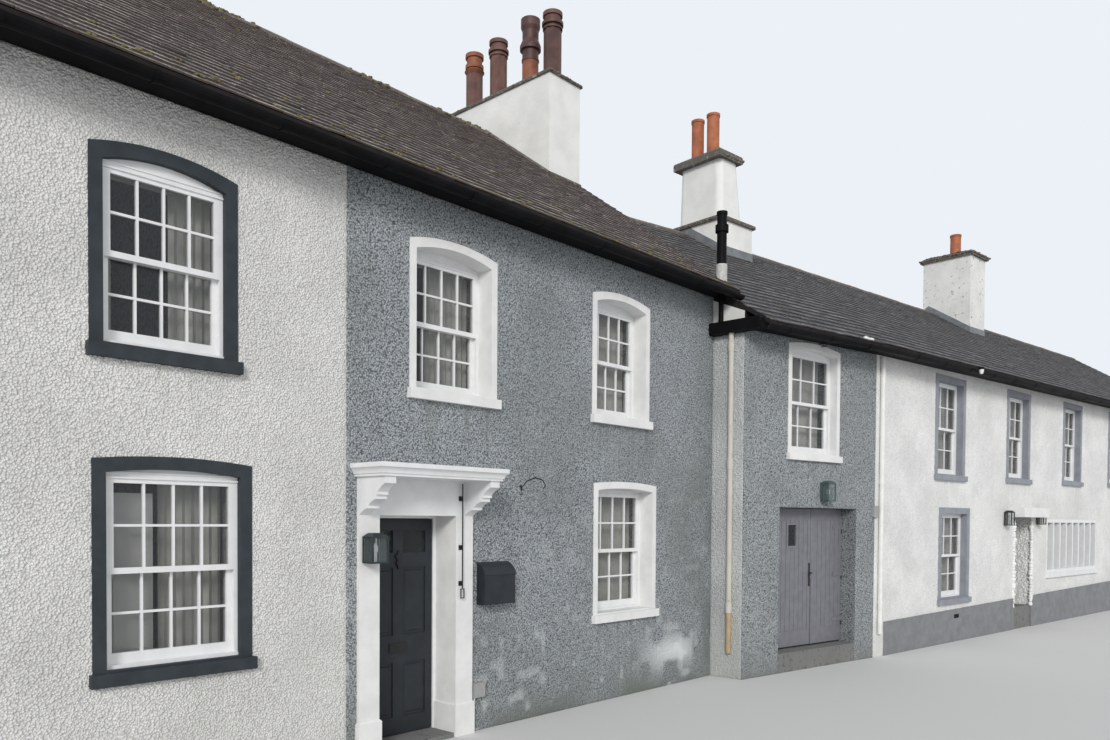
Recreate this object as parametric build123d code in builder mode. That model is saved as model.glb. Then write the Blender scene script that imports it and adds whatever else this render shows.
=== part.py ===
from build123d import *
from collections import namedtuple
from math import atan, cos, pi, radians, sin, tan
import os

os.makedirs("parts", exist_ok=True)

# All sizes are in millimetres. X runs along the row, Y goes from the street to the
# rear and Z is up. The origin is the middle of the foot of the party wall between
# the white house and the grey house.

# Plan
white_width = 5700
grey_width = 5610
left_depth = 7300
garage_width = 3040
garage_forward = 471
garage_turn = -9.0
long_length = 19000
long_turn = -6.0
right_depth = 7000
right_rise = 0.016

# Walls and floors
wall = 450
garage_wall = 480
party = 300
board = 150
ground_floor_top = 40
garage_floor_top = 260
long_floor_top = 420
upper_floor_top = 2750
long_upper_floor_top = 2600
grey_split = 2600
long_split = 2330

# Roofs, by the slate level at the edge of the eaves
left_eave = 4980
left_pitch = 36.4
left_soffit_drop = 40
right_eave = 4575
right_pitch = 33.3
right_soffit_drop = 55
plate_rise = 70
slates = 40
roof_depth = 120
overhang = 350
verge = 90
ridge_tile = 150
ridge_thick = 30

# Eaves
fascia_thick = 20
fascia_drop = 40
fascia_back = 50
gutter_radius = 58
gutter_skin = 4
gutter_sides = 8
gutter_drop = 12
eaves_clearance = 5
return_box_width = 120
return_box_height = 150
return_box_drop = 90
return_box_short = 81

# Chimneys
left_stack_width = 660
left_stack_back = 2330
left_stack_depth = 2320
left_stack_rise = 470
middle_stack_left = -286
middle_stack_width = 898
middle_stack_back = 2700
middle_stack_depth = 1150
middle_base_rise = 50
middle_upper_left = -205
middle_upper_width = 650
middle_upper_back = 2775
middle_upper_depth = 925
middle_upper_height = 1020
middle_narrowing = 125
middle_lean = 20
middle_corner = 110
right_stack_left = 9090
right_stack_width = 830
right_stack_back = 2500
right_stack_depth = 1150
right_stack_rise = 1200
stack_sink = 650
ledge_thick = 60
ledge_proud = 45
left_cap_thick = 60
left_cap_proud = 28
left_cap_bevel = 25
middle_cap_thick = 140
middle_cap_proud = 70
middle_cap_shift = -30
middle_cap_round = 45
right_cap_thick = 110
right_cap_proud = 60
right_cap_bevel = 50
lead_thick = 12
lead_height = 150

# Chimney pots
pot_shaft = 132
pot_flare = 26
pot_flare_height = 90
pot_ring = 158
pot_neck = 122
pot_rim = 145
pot_bore = 96
pot_bore_depth = 500
octagonal_pots = ((2582, 985, True), (3724, 990, True), (4277, 975, False))
bulged_pot_back = 3034
middle_pot_backs = (3141, 3482)
middle_pot_height = 770
right_pot_back = 3049
right_pot_height = 560
plain_pot = 108
plain_rim = 118
plain_rim_height = 45

# Front door
door_left = 310
door_width = 860
door_height = 2060
reveal_skin = 20
pilaster_width = 210
pilaster_proud = 40
pilaster_foot = 310
foot_proud = 58
foot_side = 15
foot_bevel = 16
frame_width = 44
frame_depth = 70
frame_step = 10
door_setback = 262
door_thick = 45
gap = 8
threshold_top = 40

# Front door leaf
stile = 80
muntin = 112
light_foot = 1720
light_height = 205
tall_foot = 965
tall_height = 620
short_foot = 210
short_height = 500
panel_sink = 12
field_margin = 26
field_raise = 8
field_slope = 40
plate_width = 200
plate_height = 90
plate_centre = 848
plate_thick = 8
knocker_centre = 1655
knocker_height = 170
knocker_width = 70
knocker_thick = 16
knocker_half = [(0, 0.5), (0.31, 0.24), (0.5, 0.28), (0.43, 0.1), (0.17, 0), (0.37, -0.18), (0, -0.5)]
knob_height = 1060
knob_radius = 24
knob_reach = 42
knob_inset = 50

# Hinges
hinge_radius = 7
hinge_play = 0.3
hinge_height = 55
hinge_inset = 12
hinge_plate = 70
hinge_leaf_thick = 3.5
door_hinge_feet = (300, 1030, 1720)
garage_hinge_feet = (520, 1180, 1860)
garage_strap = 210

# Door hood and its brackets
hood_top = 2490
hood_height = 110
hood_reach = 460
hood_overlap = 70
hood_edge = 55
hood_fillet = 12
hood_step = 22
hood_cove = 50
bracket_width = 110
bracket_reach = 400
bracket_toe = 40
bracket_step = 22
bracket_coves = ((105, 70, 35), (105, 55, 0))
nose_drop = 60
cove_bow = 8

# Garage doorway
garage_left = 750
garage_opening = 1800
garage_head = 2220
leaf_setback = 235
left_leaf_width = 1030
leaf_thick = 45
leaf_bottom = 285
leaf_stile = 60
leaf_top_rail = 165
leaf_low_rail = 215
board_inset = 12
light_left = 515
light_width = 183
garage_light_height = 290
light_sill = 1690
light_margin = 35
strip_width = 55
strip_height = 935
strip_proud = 14

# Porch of the long house
porch_left = 5270
porch_width = 870
porch_head = 2140
porch_slab_height = 180
porch_slab_reach = 260
porch_slab_wing = 190

# Windows
sill_height = 90
sill_proud = 60
sill_wing = 20
box_frame = 40
sash_rail = 42
sash_foot_rail = 75
sash_thick = 42
pane = 6
skin = 15
surround_white = 75
surround_grey = 60
surround_long = 90
white_reveal = 40
grey_reveal = 180
garage_reveal = 105
long_reveal = 100
rear_setback = 100
fin_count = 7
fin_width = 60
fin_depth = 120
fin_frame = 70

# Plinth, pipes and fittings
plinth_top = 510
plinth_proud = 25
plinth_start = 300
pipe_radius = 34
pipe_wall_gap = 10
bracket_thick = 40
bracket_skin = 6
socket_height = 90
socket_skin = 8
cream_pipe_out = 300
cream_pipe_foot = 330
cream_brackets = (850, 2690, 4200)
white_pipe_along = 120
white_pipe_foot = 350
white_brackets = (800, 2600, 4200)
vent_inset = 75
vent_along = grey_width - vent_inset
vent_out = 163
vent_radius = 62
vent_low_radius = 32
vent_hole_gap = 4
vent_widen = 4990
vent_top = 5990
vent_rim = 40
vent_rim_skin = 8
vent_bore = 200
vent_skin = 8
vent_socket_foot = 5730
vent_socket_top = 5820
vent_socket_skin = 22
collar_top = 5317
collar_skin = 6
letterbox_left = 1460
letterbox_width = 400
letterbox_foot = 1215
letterbox_front = 1500
letterbox_top = 1615
letterbox_depth = 130
letterbox_lid = 8
letterbox_bow = 25
bell_along = 1222
bell_brackets = (2222, 1767, 1432)
bell_foot = 1385
bell_top = 2360
bell_radius = 6
bell_out = 32
bell_plate = 44
stirrup_width = 46
stirrup_height = 92
stirrup_bar = 8
hook_along = 2050
hook_height = 2330
hook_line = ((-10, -10), (95, 85), (210, 115), (310, 90), (355, 35), (318, 5))
hook_plate = (34, 110, 8)
loop_along = 1574
loop_height = 4478
loop_line = ((-10, 0), (120, 0), (120, -42), (45, -42))
bar_radius = 6
bar_bend = 18
bar_sides = 6

# Lanterns by left, foot, width, height, depth and stand-off; boxes by left, foot, width, height and depth
lantern_post = 14
lantern_taper = 0.55
lantern_roof = 30
door_lantern = (118, 1656, 165, 225, 145, 20)
garage_lantern = (1640, 2310, 180, 255, 130, 15)
left_porch_lantern = (porch_left - 500, 1980, 150, 250, 135, 15)
right_porch_lantern = (porch_left + porch_width + 220, 2000, 150, 250, 135, 15)
meter_box = (1400, 330, 130, 140, 60)
small_box = (2960, 2100, 120, 170, 45)


def street_face(x, y, turn):
    """The plane of a front: its x runs along the row, its y is up, its normal is to the street."""
    a = radians(turn)
    return Plane(origin=(x, y, 0), x_dir=(cos(a), sin(a), 0), z_dir=(sin(a), -cos(a), 0))


def section(face, along):
    """The upright plane across a house at a distance along its front: its x goes to the rear."""
    return Plane(origin=face.from_local_coords((along, 0, 0)), x_dir=-face.z_dir, z_dir=face.x_dir)


def ground_plan(face, height):
    """The level plane of a house: its x runs along the front, its y goes to the rear."""
    return Plane(origin=face.origin + Vector(0, 0, height), x_dir=face.x_dir, z_dir=(0, 0, 1))


left_face = street_face(0, -left_depth / 2, 0)
garage_face = street_face(grey_width, -left_depth / 2 - garage_forward, garage_turn)
corner = garage_face.from_local_coords((garage_width, 0, 0))
long_face = street_face(corner.X, corner.Y, long_turn)
left_rear_face = left_face.offset(-left_depth)
garage_rear_face = garage_face.offset(-right_depth)
long_rear_face = long_face.offset(-right_depth)
grey_gable_plane = Plane(origin=(grey_width, 0, 0), z_dir=(1, 0, 0))
long_end_plane = Plane(origin=corner, z_dir=long_face.x_dir)


def save(piece, name):
    piece.part.label = name
    export_step(piece.part, f"parts/{name}.step")


def outline(left, foot, width, height, rise=0, mode=Mode.ADD):
    """A window or door shape with a flat head, or a segmental arch of the given rise."""
    right = left + width
    spring = foot + height - rise
    with BuildLine() as edge:
        Polyline((left, spring), (left, foot), (right, foot), (right, spring))
        if rise:
            ThreePointArc((right, spring), (left + width / 2, foot + height), (left, spring))
        else:
            Line((right, spring), (left, spring))
    make_face(edge.edges(), mode=mode)


def plate(face, left, foot, width, height, out, mode=Mode.ADD):
    """A flat piece on a face, standing out from it, or let into it where out is negative."""
    with BuildSketch(face) as shape:
        outline(left, foot, width, height)
    extrude(shape.sketch, amount=out, mode=mode)


def block(face, left, back, width, depth, foot, height, mode=Mode.ADD):
    """An upright block by its plan: left and width along the front, back and depth to the rear."""
    with BuildSketch(ground_plan(face, foot)) as plan:
        with Locations((left, back)):
            Rectangle(width, depth, align=(Align.MIN, Align.MIN))
    extrude(plan.sketch, amount=height, mode=mode)


def rod(face, along, back, foot, height, radius, mode=Mode.ADD):
    """An upright round bar or hole."""
    with BuildSketch(ground_plan(face, foot)) as plan:
        with Locations((along, back)):
            Circle(radius)
    extrude(plan.sketch, amount=height, mode=mode)


def draw_out(points, plane, length, rise=0, mode=Mode.ADD):
    """Draws a section out along the row, climbing with the street by the given rise."""
    with BuildSketch(plane) as profile:
        with BuildLine() as edge:
            Polyline(*points, close=True)
        make_face(edge.edges())
    direction = Vector(plane.z_dir.X, plane.z_dir.Y, rise)
    extrude(profile.sketch, amount=length * direction.length, dir=direction, mode=mode)


def turned(face, along, back, foot, steps):
    """A turned upright piece, by steps of lower radius, upper radius and height."""
    level = foot
    points = [(back, level)]
    for low, high, height in steps:
        if points[-1] != (back + low, level):
            points.append((back + low, level))
        level += height
        points.append((back + high, level))
    points.append((back, level))
    place = section(face, along)
    with BuildSketch(place) as half:
        with BuildLine() as edge:
            Polyline(*points, close=True)
        make_face(edge.edges())
    revolve(half.sketch, axis=Axis(place.from_local_coords((back, 0, 0)), (0, 0, 1)))


def knuckle(face, axis, foot, end_along, end_back):
    """One barrel of a hinge, with the plate that joins it to the leaf or the jamb."""
    with BuildSketch(ground_plan(face, foot)) as shape:
        with Locations(axis):
            Circle(hinge_radius)
        start_back = axis[1] if end_back else axis[1] - hinge_leaf_thick
        stop_back = end_back if end_back else axis[1] + hinge_leaf_thick
        with Locations(((axis[0] + end_along) / 2, (start_back + stop_back) / 2)):
            Rectangle(abs(end_along - axis[0]), abs(stop_back - start_back))
    extrude(shape.sketch, amount=hinge_height)


# Windows of each front, by their clear openings in the masonry
Window = namedtuple("Window", "left foot width height rise")
white_windows = [
    Window(-1917, 3185, 887, 1315, 75),
    Window(-1905, 980, 985, 1400, 35),
    Window(-5030, 3185, 887, 1315, 75),
]
grey_upper_windows = [Window(705, 3190, 945, 1330, 70), Window(3215, 3195, 930, 1340, 70)]
grey_lower_windows = [Window(3255, 975, 1045, 1435, 30)]
garage_windows = [Window(955, 2950, 1070, 1455, 55)]
long_bay = 2920
long_first = 2010
long_bays = 6
long_upper_foot = 2790
long_lower_foot = 740
bay_lefts = [long_first + long_bay * i for i in range(long_bays)]
long_upper_windows = [Window(u, long_upper_foot + right_rise * u, 960, 1560, 0) for u in bay_lefts]
long_lower_windows = [Window(2200, long_lower_foot, 1000, 1450, 0)] + [
    Window(u, long_lower_foot + right_rise * u, 960, 1450, 0) for u in bay_lefts[4:]
]
finned_window = Window(6950, 1010, 3060, 1100, 0)
rear_window = Window(0, 0, 900, 1300, 0)
rear_left_places = [-4700, -2100, 900, 3500]
rear_right_places = [1000, 4600, 8200, 11800, 15400]
rear_garage_places = [700]
rear_lower_foot = 980
rear_upper_foot = 3190
rear_right_lift = -250


def rear_row(places, lift, rise):
    return [
        Window(place, foot + lift + rise * place, rear_window.width, rear_window.height, 0)
        for place in places
        for foot in (rear_lower_foot, rear_upper_foot)
    ]


rear_left_windows = rear_row(rear_left_places, 0, 0)
rear_long_windows = rear_row(rear_right_places, rear_right_lift, right_rise)
rear_garage_windows = rear_row(rear_garage_places, rear_right_lift, 0)
grey_windows = grey_upper_windows + grey_lower_windows
long_windows = long_upper_windows + long_lower_windows


def cut_windows(windows):
    for w in windows:
        outline(w.left, w.foot, w.width, w.height, w.rise, mode=Mode.SUBTRACT)


# Roof shapes
Roof = namedtuple("Roof", "half ridge grade wall_top soffit")


def make_roof(depth, eave, pitch, soffit_drop):
    grade = tan(radians(pitch))
    return Roof(depth / 2, eave + grade * (depth / 2 + overhang), grade, eave + plate_rise, eave - soffit_drop)


left_roof = make_roof(left_depth, left_eave, left_pitch, left_soffit_drop)
right_roof = make_roof(right_depth, right_eave, right_pitch, right_soffit_drop)


def upright(thickness, grade):
    """The upright measure of a layer that lies on a slope."""
    return thickness / cos(atan(grade))


def slate_top(roof, back):
    return roof.ridge - roof.grade * abs(roof.half - back)


def mirrored(roof, points, rear):
    return [(2 * roof.half - p, q) for p, q in points] if rear else points


def lifted(points, amount):
    return [(p, q + amount) for p, q in points]


def sloping_wall(length, start, top, foot=0):
    """The outline of a wall whose top climbs with the street, from a start along the front."""
    end = start + length
    return [(start, foot), (end, foot), (end, top + right_rise * end), (start, top + right_rise * start)]


def wall_shape(points):
    with BuildLine() as edge:
        Polyline(*points, close=True)
    make_face(edge.edges())


def keep_between_neighbours():
    """Trims a piece of the garage house at the grey gable and at the long house."""
    split(bisect_by=grey_gable_plane, keep=Keep.TOP)
    split(bisect_by=long_end_plane, keep=Keep.BOTTOM)


reach = garage_width + 600
garage_fall = -right_rise * (reach + garage_width)
garage_wall_top = right_roof.wall_top - right_rise * garage_width
garage_right = garage_left + garage_opening
porch_right = porch_left + porch_width
door_right = door_left + door_width
hole_left = door_left - reveal_skin
hole_right = door_right + reveal_skin
hole_head = door_height + reveal_skin
white_door_left = -white_width + door_left

# White house, front wall with its own plain doorway
with BuildPart() as white_front:
    with BuildSketch(left_face):
        outline(-white_width, 0, white_width, left_roof.wall_top)
        cut_windows(white_windows)
        outline(white_door_left, 0, door_width, door_height, mode=Mode.SUBTRACT)
    extrude(amount=-wall)
save(white_front, "white_house_front_wall")

# Grey house, lower wall on both sides of the doorway, and the wall over it
with BuildPart() as grey_lower:
    with BuildSketch(left_face):
        outline(0, 0, hole_left, grey_split)
        outline(hole_right, 0, grey_width - hole_right, grey_split)
        cut_windows(grey_lower_windows)
    extrude(amount=-wall)
save(grey_lower, "grey_house_lower_wall")

with BuildPart() as grey_upper:
    with BuildSketch(left_face):
        outline(0, grey_split, grey_width, left_roof.wall_top - grey_split)
        outline(hole_left, hole_head, hole_right - hole_left, grey_split - hole_head)
        cut_windows(grey_upper_windows)
    extrude(amount=-wall)
save(grey_upper, "grey_house_upper_wall")

# Garage house, piers of the doorway and the wall over it
with BuildPart() as garage_piers:
    with BuildSketch(garage_face):
        outline(-reach, 0, reach + garage_left, garage_head)
        outline(garage_right, 0, reach - garage_right, garage_head)
    extrude(amount=-garage_wall)
    keep_between_neighbours()
save(garage_piers, "garage_side_walls")

with BuildPart() as garage_upper:
    with BuildSketch(garage_face):
        wall_shape(sloping_wall(2 * reach, -reach, garage_wall_top, garage_head))
        cut_windows(garage_windows)
    extrude(amount=-garage_wall)
    keep_between_neighbours()
save(garage_upper, "garage_house_upper_wall")


# Long house, lower wall on both sides of the porch, and the wall over it
def split_level(along):
    return long_split + right_rise * (along - porch_left)


with BuildPart() as long_lower:
    with BuildSketch(long_face):
        for start, end in ((0, porch_left), (porch_right, long_length)):
            wall_shape([(start, 0), (end, 0), (end, split_level(end)), (start, split_level(start))])
        cut_windows(long_lower_windows + [finned_window])
    extrude(amount=-wall)
save(long_lower, "long_house_lower_wall")

with BuildPart() as long_upper:
    with BuildSketch(long_face):
        wall_shape(
            [
                (0, split_level(0)),
                (porch_left, split_level(porch_left)),
                (porch_left, porch_head),
                (porch_right, porch_head),
                (porch_right, split_level(porch_right)),
                (long_length, split_level(long_length)),
                (long_length, right_roof.wall_top + right_rise * long_length),
                (0, right_roof.wall_top),
            ]
        )
        cut_windows(long_upper_windows)
    extrude(amount=-wall)
save(long_upper, "long_house_upper_wall")

# Rear walls, each with plain flat-headed windows on both storeys
with BuildPart() as left_rear:
    with BuildSketch(left_rear_face):
        outline(-white_width, 0, white_width + grey_width, left_roof.wall_top)
        cut_windows(rear_left_windows)
    extrude(amount=wall)
save(left_rear, "left_rear_wall")

with BuildPart() as right_rear:
    with BuildSketch(garage_rear_face):
        wall_shape(sloping_wall(2 * reach, -reach, garage_wall_top))
        cut_windows(rear_garage_windows)
    extrude(amount=wall)
    keep_between_neighbours()
    with BuildSketch(long_rear_face):
        wall_shape(sloping_wall(long_length, 0, right_roof.wall_top))
        cut_windows(rear_long_windows)
    extrude(amount=wall)
save(right_rear, "right_rear_wall")

# Chimney stacks, by their plan, foot and top
Stack = namedtuple("Stack", "face roof left width back depth foot top")


def stack_foot(roof, back):
    return slate_top(roof, back) - stack_sink


left_stack = Stack(
    left_face, left_roof, grey_width - left_stack_width, left_stack_width, left_stack_back, left_stack_depth,
    stack_foot(left_roof, left_stack_back), left_roof.ridge + left_stack_rise,
)
middle_stack = Stack(
    long_face, right_roof, middle_stack_left, middle_stack_width, middle_stack_back, middle_stack_depth,
    stack_foot(right_roof, middle_stack_back), right_roof.ridge + middle_base_rise,
)
right_stack = Stack(
    long_face, right_roof, right_stack_left, right_stack_width, right_stack_back, right_stack_depth,
    0, right_roof.ridge + right_rise * right_stack_left + right_stack_rise,
)
stacks = (left_stack, middle_stack, right_stack)


def stack_block(stack, mode=Mode.ADD, proud=0):
    block(
        stack.face, stack.left - proud, stack.back - proud, stack.width + 2 * proud, stack.depth + 2 * proud,
        stack.foot, stack.top - stack.foot, mode,
    )


# Roof slopes, each drawn out as a section along its house
def slope_points(roof, wall_depth, rear):
    deep = upright(roof_depth, roof.grade)
    thin = upright(slates, roof.grade)
    points = [
        (-overhang, slate_top(roof, -overhang)),
        (roof.half, roof.ridge),
        (roof.half, roof.ridge - deep),
        (wall_depth, slate_top(roof, wall_depth) - deep),
        (wall_depth, roof.wall_top),
        (0, roof.wall_top),
        (0, slate_top(roof, 0) - thin),
        (-overhang, slate_top(roof, -overhang) - thin),
    ]
    return mirrored(roof, points, rear)


def verge_points(roof, rear):
    thin = upright(slates, roof.grade)
    points = [
        (-overhang, slate_top(roof, -overhang)),
        (roof.half, roof.ridge),
        (roof.half, roof.ridge - thin),
        (-overhang, slate_top(roof, -overhang) - thin),
    ]
    return mirrored(roof, points, rear)


def vent_hole(radius):
    rod(left_face, vent_along, -vent_out, left_roof.soffit - overhang, 2 * overhang, radius, Mode.SUBTRACT)


slopes = []
for rear, name in ((False, "left_roof_front_slope"), (True, "left_roof_rear_slope")):
    with BuildPart() as slope:
        draw_out(slope_points(left_roof, wall, rear), section(left_face, -white_width), white_width + grey_width)
        draw_out(verge_points(left_roof, rear), section(left_face, grey_width), verge)
        stack_block(left_stack, Mode.SUBTRACT)
        vent_hole(vent_radius + vent_hole_gap)
    slopes.append(slope)
    save(slope, name)

for rear, name in ((False, "right_roof_front_slope"), (True, "right_roof_rear_slope")):
    garage_points = slope_points(right_roof, wall if rear else garage_wall, rear)
    with BuildPart() as slope:
        draw_out(lifted(garage_points, garage_fall), section(garage_face, -reach), 2 * reach, right_rise)
        keep_between_neighbours()
        draw_out(slope_points(right_roof, wall, rear), section(long_face, 0), long_length, right_rise)
        draw_out(
            lifted(verge_points(right_roof, rear), right_rise * long_length),
            section(long_face, long_length), verge, right_rise,
        )
        stack_block(middle_stack, Mode.SUBTRACT)
        stack_block(right_stack, Mode.SUBTRACT)
    slopes.append(slope)
    save(slope, name)


# Cross walls, up to the underside of the roof
def gable_points(roof):
    deep = upright(roof_depth, roof.grade)
    far = 2 * roof.half - wall
    return [
        (wall, -board),
        (far, -board),
        (far, slate_top(roof, far) - deep),
        (roof.half, roof.ridge - deep),
        (wall, slate_top(roof, wall) - deep),
    ]


def cross_wall(face, roof, along, rise, stack=None):
    with BuildPart() as cross:
        draw_out(lifted(gable_points(roof), rise * along), section(face, along), party, rise)
        split(bisect_by=Plane.XY, keep=Keep.TOP)
        if stack:
            stack_block(stack, Mode.SUBTRACT)
    return cross.part


cross_walls = {
    "end_walls": (
        cross_wall(left_face, left_roof, -white_width, 0),
        cross_wall(long_face, right_roof, long_length - party, right_rise),
    ),
    "party_walls": (
        cross_wall(left_face, left_roof, -party / 2, 0),
        cross_wall(long_face, right_roof, 0, right_rise, middle_stack),
    ),
    "grey_house_gable_wall": (cross_wall(left_face, left_roof, grey_width - party, 0, left_stack),),
}
for name, walls in cross_walls.items():
    with BuildPart() as crossing:
        for piece in walls:
            add(piece)
    save(crossing, name)


# Floors between the cross walls
def left_floor(top):
    for start, end in ((-white_width + party, -party / 2), (party / 2, grey_width - party)):
        block(left_face, start, wall, end - start, left_depth - 2 * wall, top - board, board)


def garage_floor(top):
    with BuildPart() as piece:
        block(garage_face, -reach, garage_wall, 2 * reach, right_depth - wall - garage_wall, top - board, board)
        keep_between_neighbours()
    return piece.part


def long_floor(top):
    block(long_face, party, wall, long_length - 2 * party, right_depth - 2 * wall, top - board, board)
    stack_block(right_stack, Mode.SUBTRACT)


for name, left_top, garage_top, long_top in (
    ("ground_floors", ground_floor_top, garage_floor_top, long_floor_top),
    ("upper_floors", upper_floor_top, long_upper_floor_top, long_upper_floor_top),
):
    garage_piece = garage_floor(garage_top)
    with BuildPart() as floors:
        left_floor(left_top)
        long_floor(long_top)
        add(garage_piece)
    save(floors, name)

# Chimney stacks. The middle one has a wide base, and above its drip ledge it
# narrows to the right and has rounded corners.
with BuildPart() as left_chimney:
    stack_block(left_stack)
save(left_chimney, "left_chimney_stack")

upper_foot = middle_stack.top + ledge_thick
upper_top = upper_foot + middle_upper_height
with BuildPart() as middle_chimney:
    with BuildSketch(ground_plan(long_face, upper_foot)):
        with Locations((middle_upper_left, middle_upper_back)):
            RectangleRounded(middle_upper_width, middle_upper_depth, middle_corner, align=(Align.MIN, Align.MIN))
    with BuildSketch(ground_plan(long_face, upper_top)):
        with Locations((middle_upper_left + middle_lean, middle_upper_back + middle_lean)):
            RectangleRounded(
                middle_upper_width - middle_lean - middle_narrowing, middle_upper_depth - 2 * middle_lean,
                middle_corner, align=(Align.MIN, Align.MIN),
            )
    loft(ruled=True)
    stack_block(middle_stack)
save(middle_chimney, "middle_chimney_stack")

with BuildPart() as right_chimney:
    stack_block(right_stack)
save(right_chimney, "right_chimney_stack")


# Caps: a thin bed of mortar, a thick rounded slab and a bevelled slab, and the drip ledge
def cap(face, left, back, width, depth, proud, foot, thick):
    block(face, left - proud, back - proud, width + 2 * proud, depth + 2 * proud, foot, thick)
    return faces(Select.LAST).sort_by(Axis.Z)[-1].edges()


with BuildPart() as caps:
    s = left_stack
    chamfer(cap(s.face, s.left, s.back, s.width, s.depth, left_cap_proud, s.top, left_cap_thick), left_cap_bevel)
    s = right_stack
    chamfer(
        cap(s.face, s.left, s.back, s.width, s.depth, right_cap_proud, s.top, right_cap_thick), right_cap_bevel
    )
    s = middle_stack
    cap(s.face, s.left, s.back, s.width, s.depth, ledge_proud, s.top, ledge_thick)
    top_edges = cap(
        long_face, middle_upper_left + middle_lean + middle_cap_shift, middle_upper_back + middle_lean,
        middle_upper_width - middle_lean - middle_narrowing, middle_upper_depth - 2 * middle_lean,
        middle_cap_proud, upper_top, middle_cap_thick,
    )
    fillet(top_edges, middle_cap_round)
save(caps, "chimney_caps")


# Chimney pots: octagonal shafts under turned heads, a turned pot with a bulge, and plain ones
def bore(face, along, back, top):
    rod(face, along, back, top - pot_bore_depth, pot_bore_depth, pot_bore, Mode.SUBTRACT)


def octagonal_pot(face, along, back, foot, height, head):
    shaft_foot = foot + pot_flare_height
    head_height = sum(step[2] for step in head)
    shaft_height = height - pot_flare_height - head_height
    octagons = []
    for level, radius in ((foot, pot_shaft + pot_flare), (shaft_foot, pot_shaft)):
        with BuildSketch(ground_plan(face, level)) as shape:
            with Locations((along, back)):
                RegularPolygon(radius, 8)
        octagons.append(shape.sketch)
    loft(octagons, ruled=True)
    extrude(octagons[1], amount=shaft_height)
    turned(face, along, back, shaft_foot + shaft_height, head)
    bore(face, along, back, foot + height)


def turned_pot(face, along, back, foot, steps):
    turned(face, along, back, foot, steps)
    bore(face, along, back, foot + sum(step[2] for step in steps))


tall_head = [
    (pot_rim, pot_rim, 25), (pot_neck, pot_neck, 35), (pot_ring, pot_ring, 45), (pot_neck, pot_neck, 85),
    (pot_rim, pot_rim, 55),
]
short_head = [
    (pot_neck, pot_ring, 50), (pot_ring, pot_neck, 40), (pot_rim, pot_rim, 60), (pot_neck, pot_neck, 110),
    (pot_rim, pot_rim, 60),
]
bulge_steps = [
    (pot_shaft, pot_shaft, 60), (pot_neck, pot_neck, 380), (pot_shaft, pot_shaft, 25), (pot_neck, pot_neck, 140),
    (pot_ring, pot_ring, 60), (pot_ring, pot_neck, 90), (pot_neck, pot_neck, 130), (pot_neck, pot_rim, 60),
    (pot_rim, pot_rim, 115),
]
middle_steps = [
    (plain_pot, plain_pot, middle_pot_height - plain_rim_height), (plain_rim, plain_rim, plain_rim_height),
]
right_steps = [
    (pot_neck, pot_neck, right_pot_height - plain_rim_height), (pot_shaft, pot_shaft, plain_rim_height),
]
left_pot_foot = left_stack.top + left_cap_thick
left_pot_line = left_stack.left + left_stack.width / 2
middle_pot_line = middle_upper_left + (middle_upper_width - middle_narrowing) / 2
with BuildPart() as chimney_pots:
    for back, height, tall in octagonal_pots:
        octagonal_pot(left_face, left_pot_line, back, left_pot_foot, height, tall_head if tall else short_head)
    turned_pot(left_face, left_pot_line, bulged_pot_back, left_pot_foot, bulge_steps)
    for back in middle_pot_backs:
        turned_pot(long_face, middle_pot_line, back, upper_top + middle_cap_thick, middle_steps)
    turned_pot(
        long_face, right_stack.left + right_stack.width / 2, right_pot_back, right_stack.top + right_cap_thick,
        right_steps,
    )
save(chimney_pots, "chimney_pots")


# Ridge tiles, a low cap over each ridge
def ridge_points(roof):
    drop = roof.grade * ridge_tile
    up = upright(ridge_thick, roof.grade)
    near = roof.half - ridge_tile
    far = roof.half + ridge_tile
    return [
        (near, roof.ridge - drop),
        (roof.half, roof.ridge),
        (far, roof.ridge - drop),
        (far, roof.ridge - drop + up),
        (roof.half, roof.ridge + up),
        (near, roof.ridge - drop + up),
    ]


with BuildPart() as garage_ridge:
    draw_out(lifted(ridge_points(right_roof), garage_fall), section(garage_face, -reach), 2 * reach, right_rise)
    keep_between_neighbours()
with BuildPart() as ridges:
    draw_out(ridge_points(left_roof), section(left_face, -white_width), white_width + grey_width + verge)
    draw_out(ridge_points(right_roof), section(long_face, 0), long_length + verge, right_rise)
    add(garage_ridge.part)
    for stack in stacks:
        stack_block(stack, Mode.SUBTRACT, 0 if stack is left_stack else lead_thick)
save(ridges, "ridge_tiles")


# Lead flashings: a thin band round each of the two right stacks, following the slates
def flashing_points(stack):
    """The band in the section of the roof, from within the slates up to its stepped top."""
    roof = stack.roof
    ends = (stack.back - lead_thick, roof.half, stack.back + stack.depth + lead_thick)
    low = [(back, slate_top(roof, back) - slates) for back in ends]
    high = [(back, slate_top(roof, back) + lead_height) for back in reversed(ends)]
    return low + high


with BuildPart() as flashings:
    for stack in (middle_stack, right_stack):
        start = stack.left - lead_thick
        draw_out(
            lifted(flashing_points(stack), right_rise * start), section(stack.face, start),
            stack.width + 2 * lead_thick, right_rise,
        )
        split(bisect_by=Plane.XY.offset(stack.top), keep=Keep.BOTTOM)
        stack_block(stack, Mode.SUBTRACT)
    for slope in slopes:
        add(slope.part, mode=Mode.SUBTRACT)
save(flashings, "lead_flashings")


# Eaves: a fascia board and soffit, and a half-round gutter on it
def eaves_points(roof, rear):
    front = fascia_back - overhang
    top = slate_top(roof, front) - upright(slates, roof.grade)
    points = [
        (0, roof.soffit),
        (front + fascia_thick, roof.soffit),
        (front + fascia_thick, roof.soffit - fascia_drop),
        (front, roof.soffit - fascia_drop),
        (front, top),
        (front + fascia_thick, top),
        (front + fascia_thick, roof.soffit + fascia_thick),
        (0, roof.soffit + fascia_thick),
    ]
    return mirrored(roof, points, rear)


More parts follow.
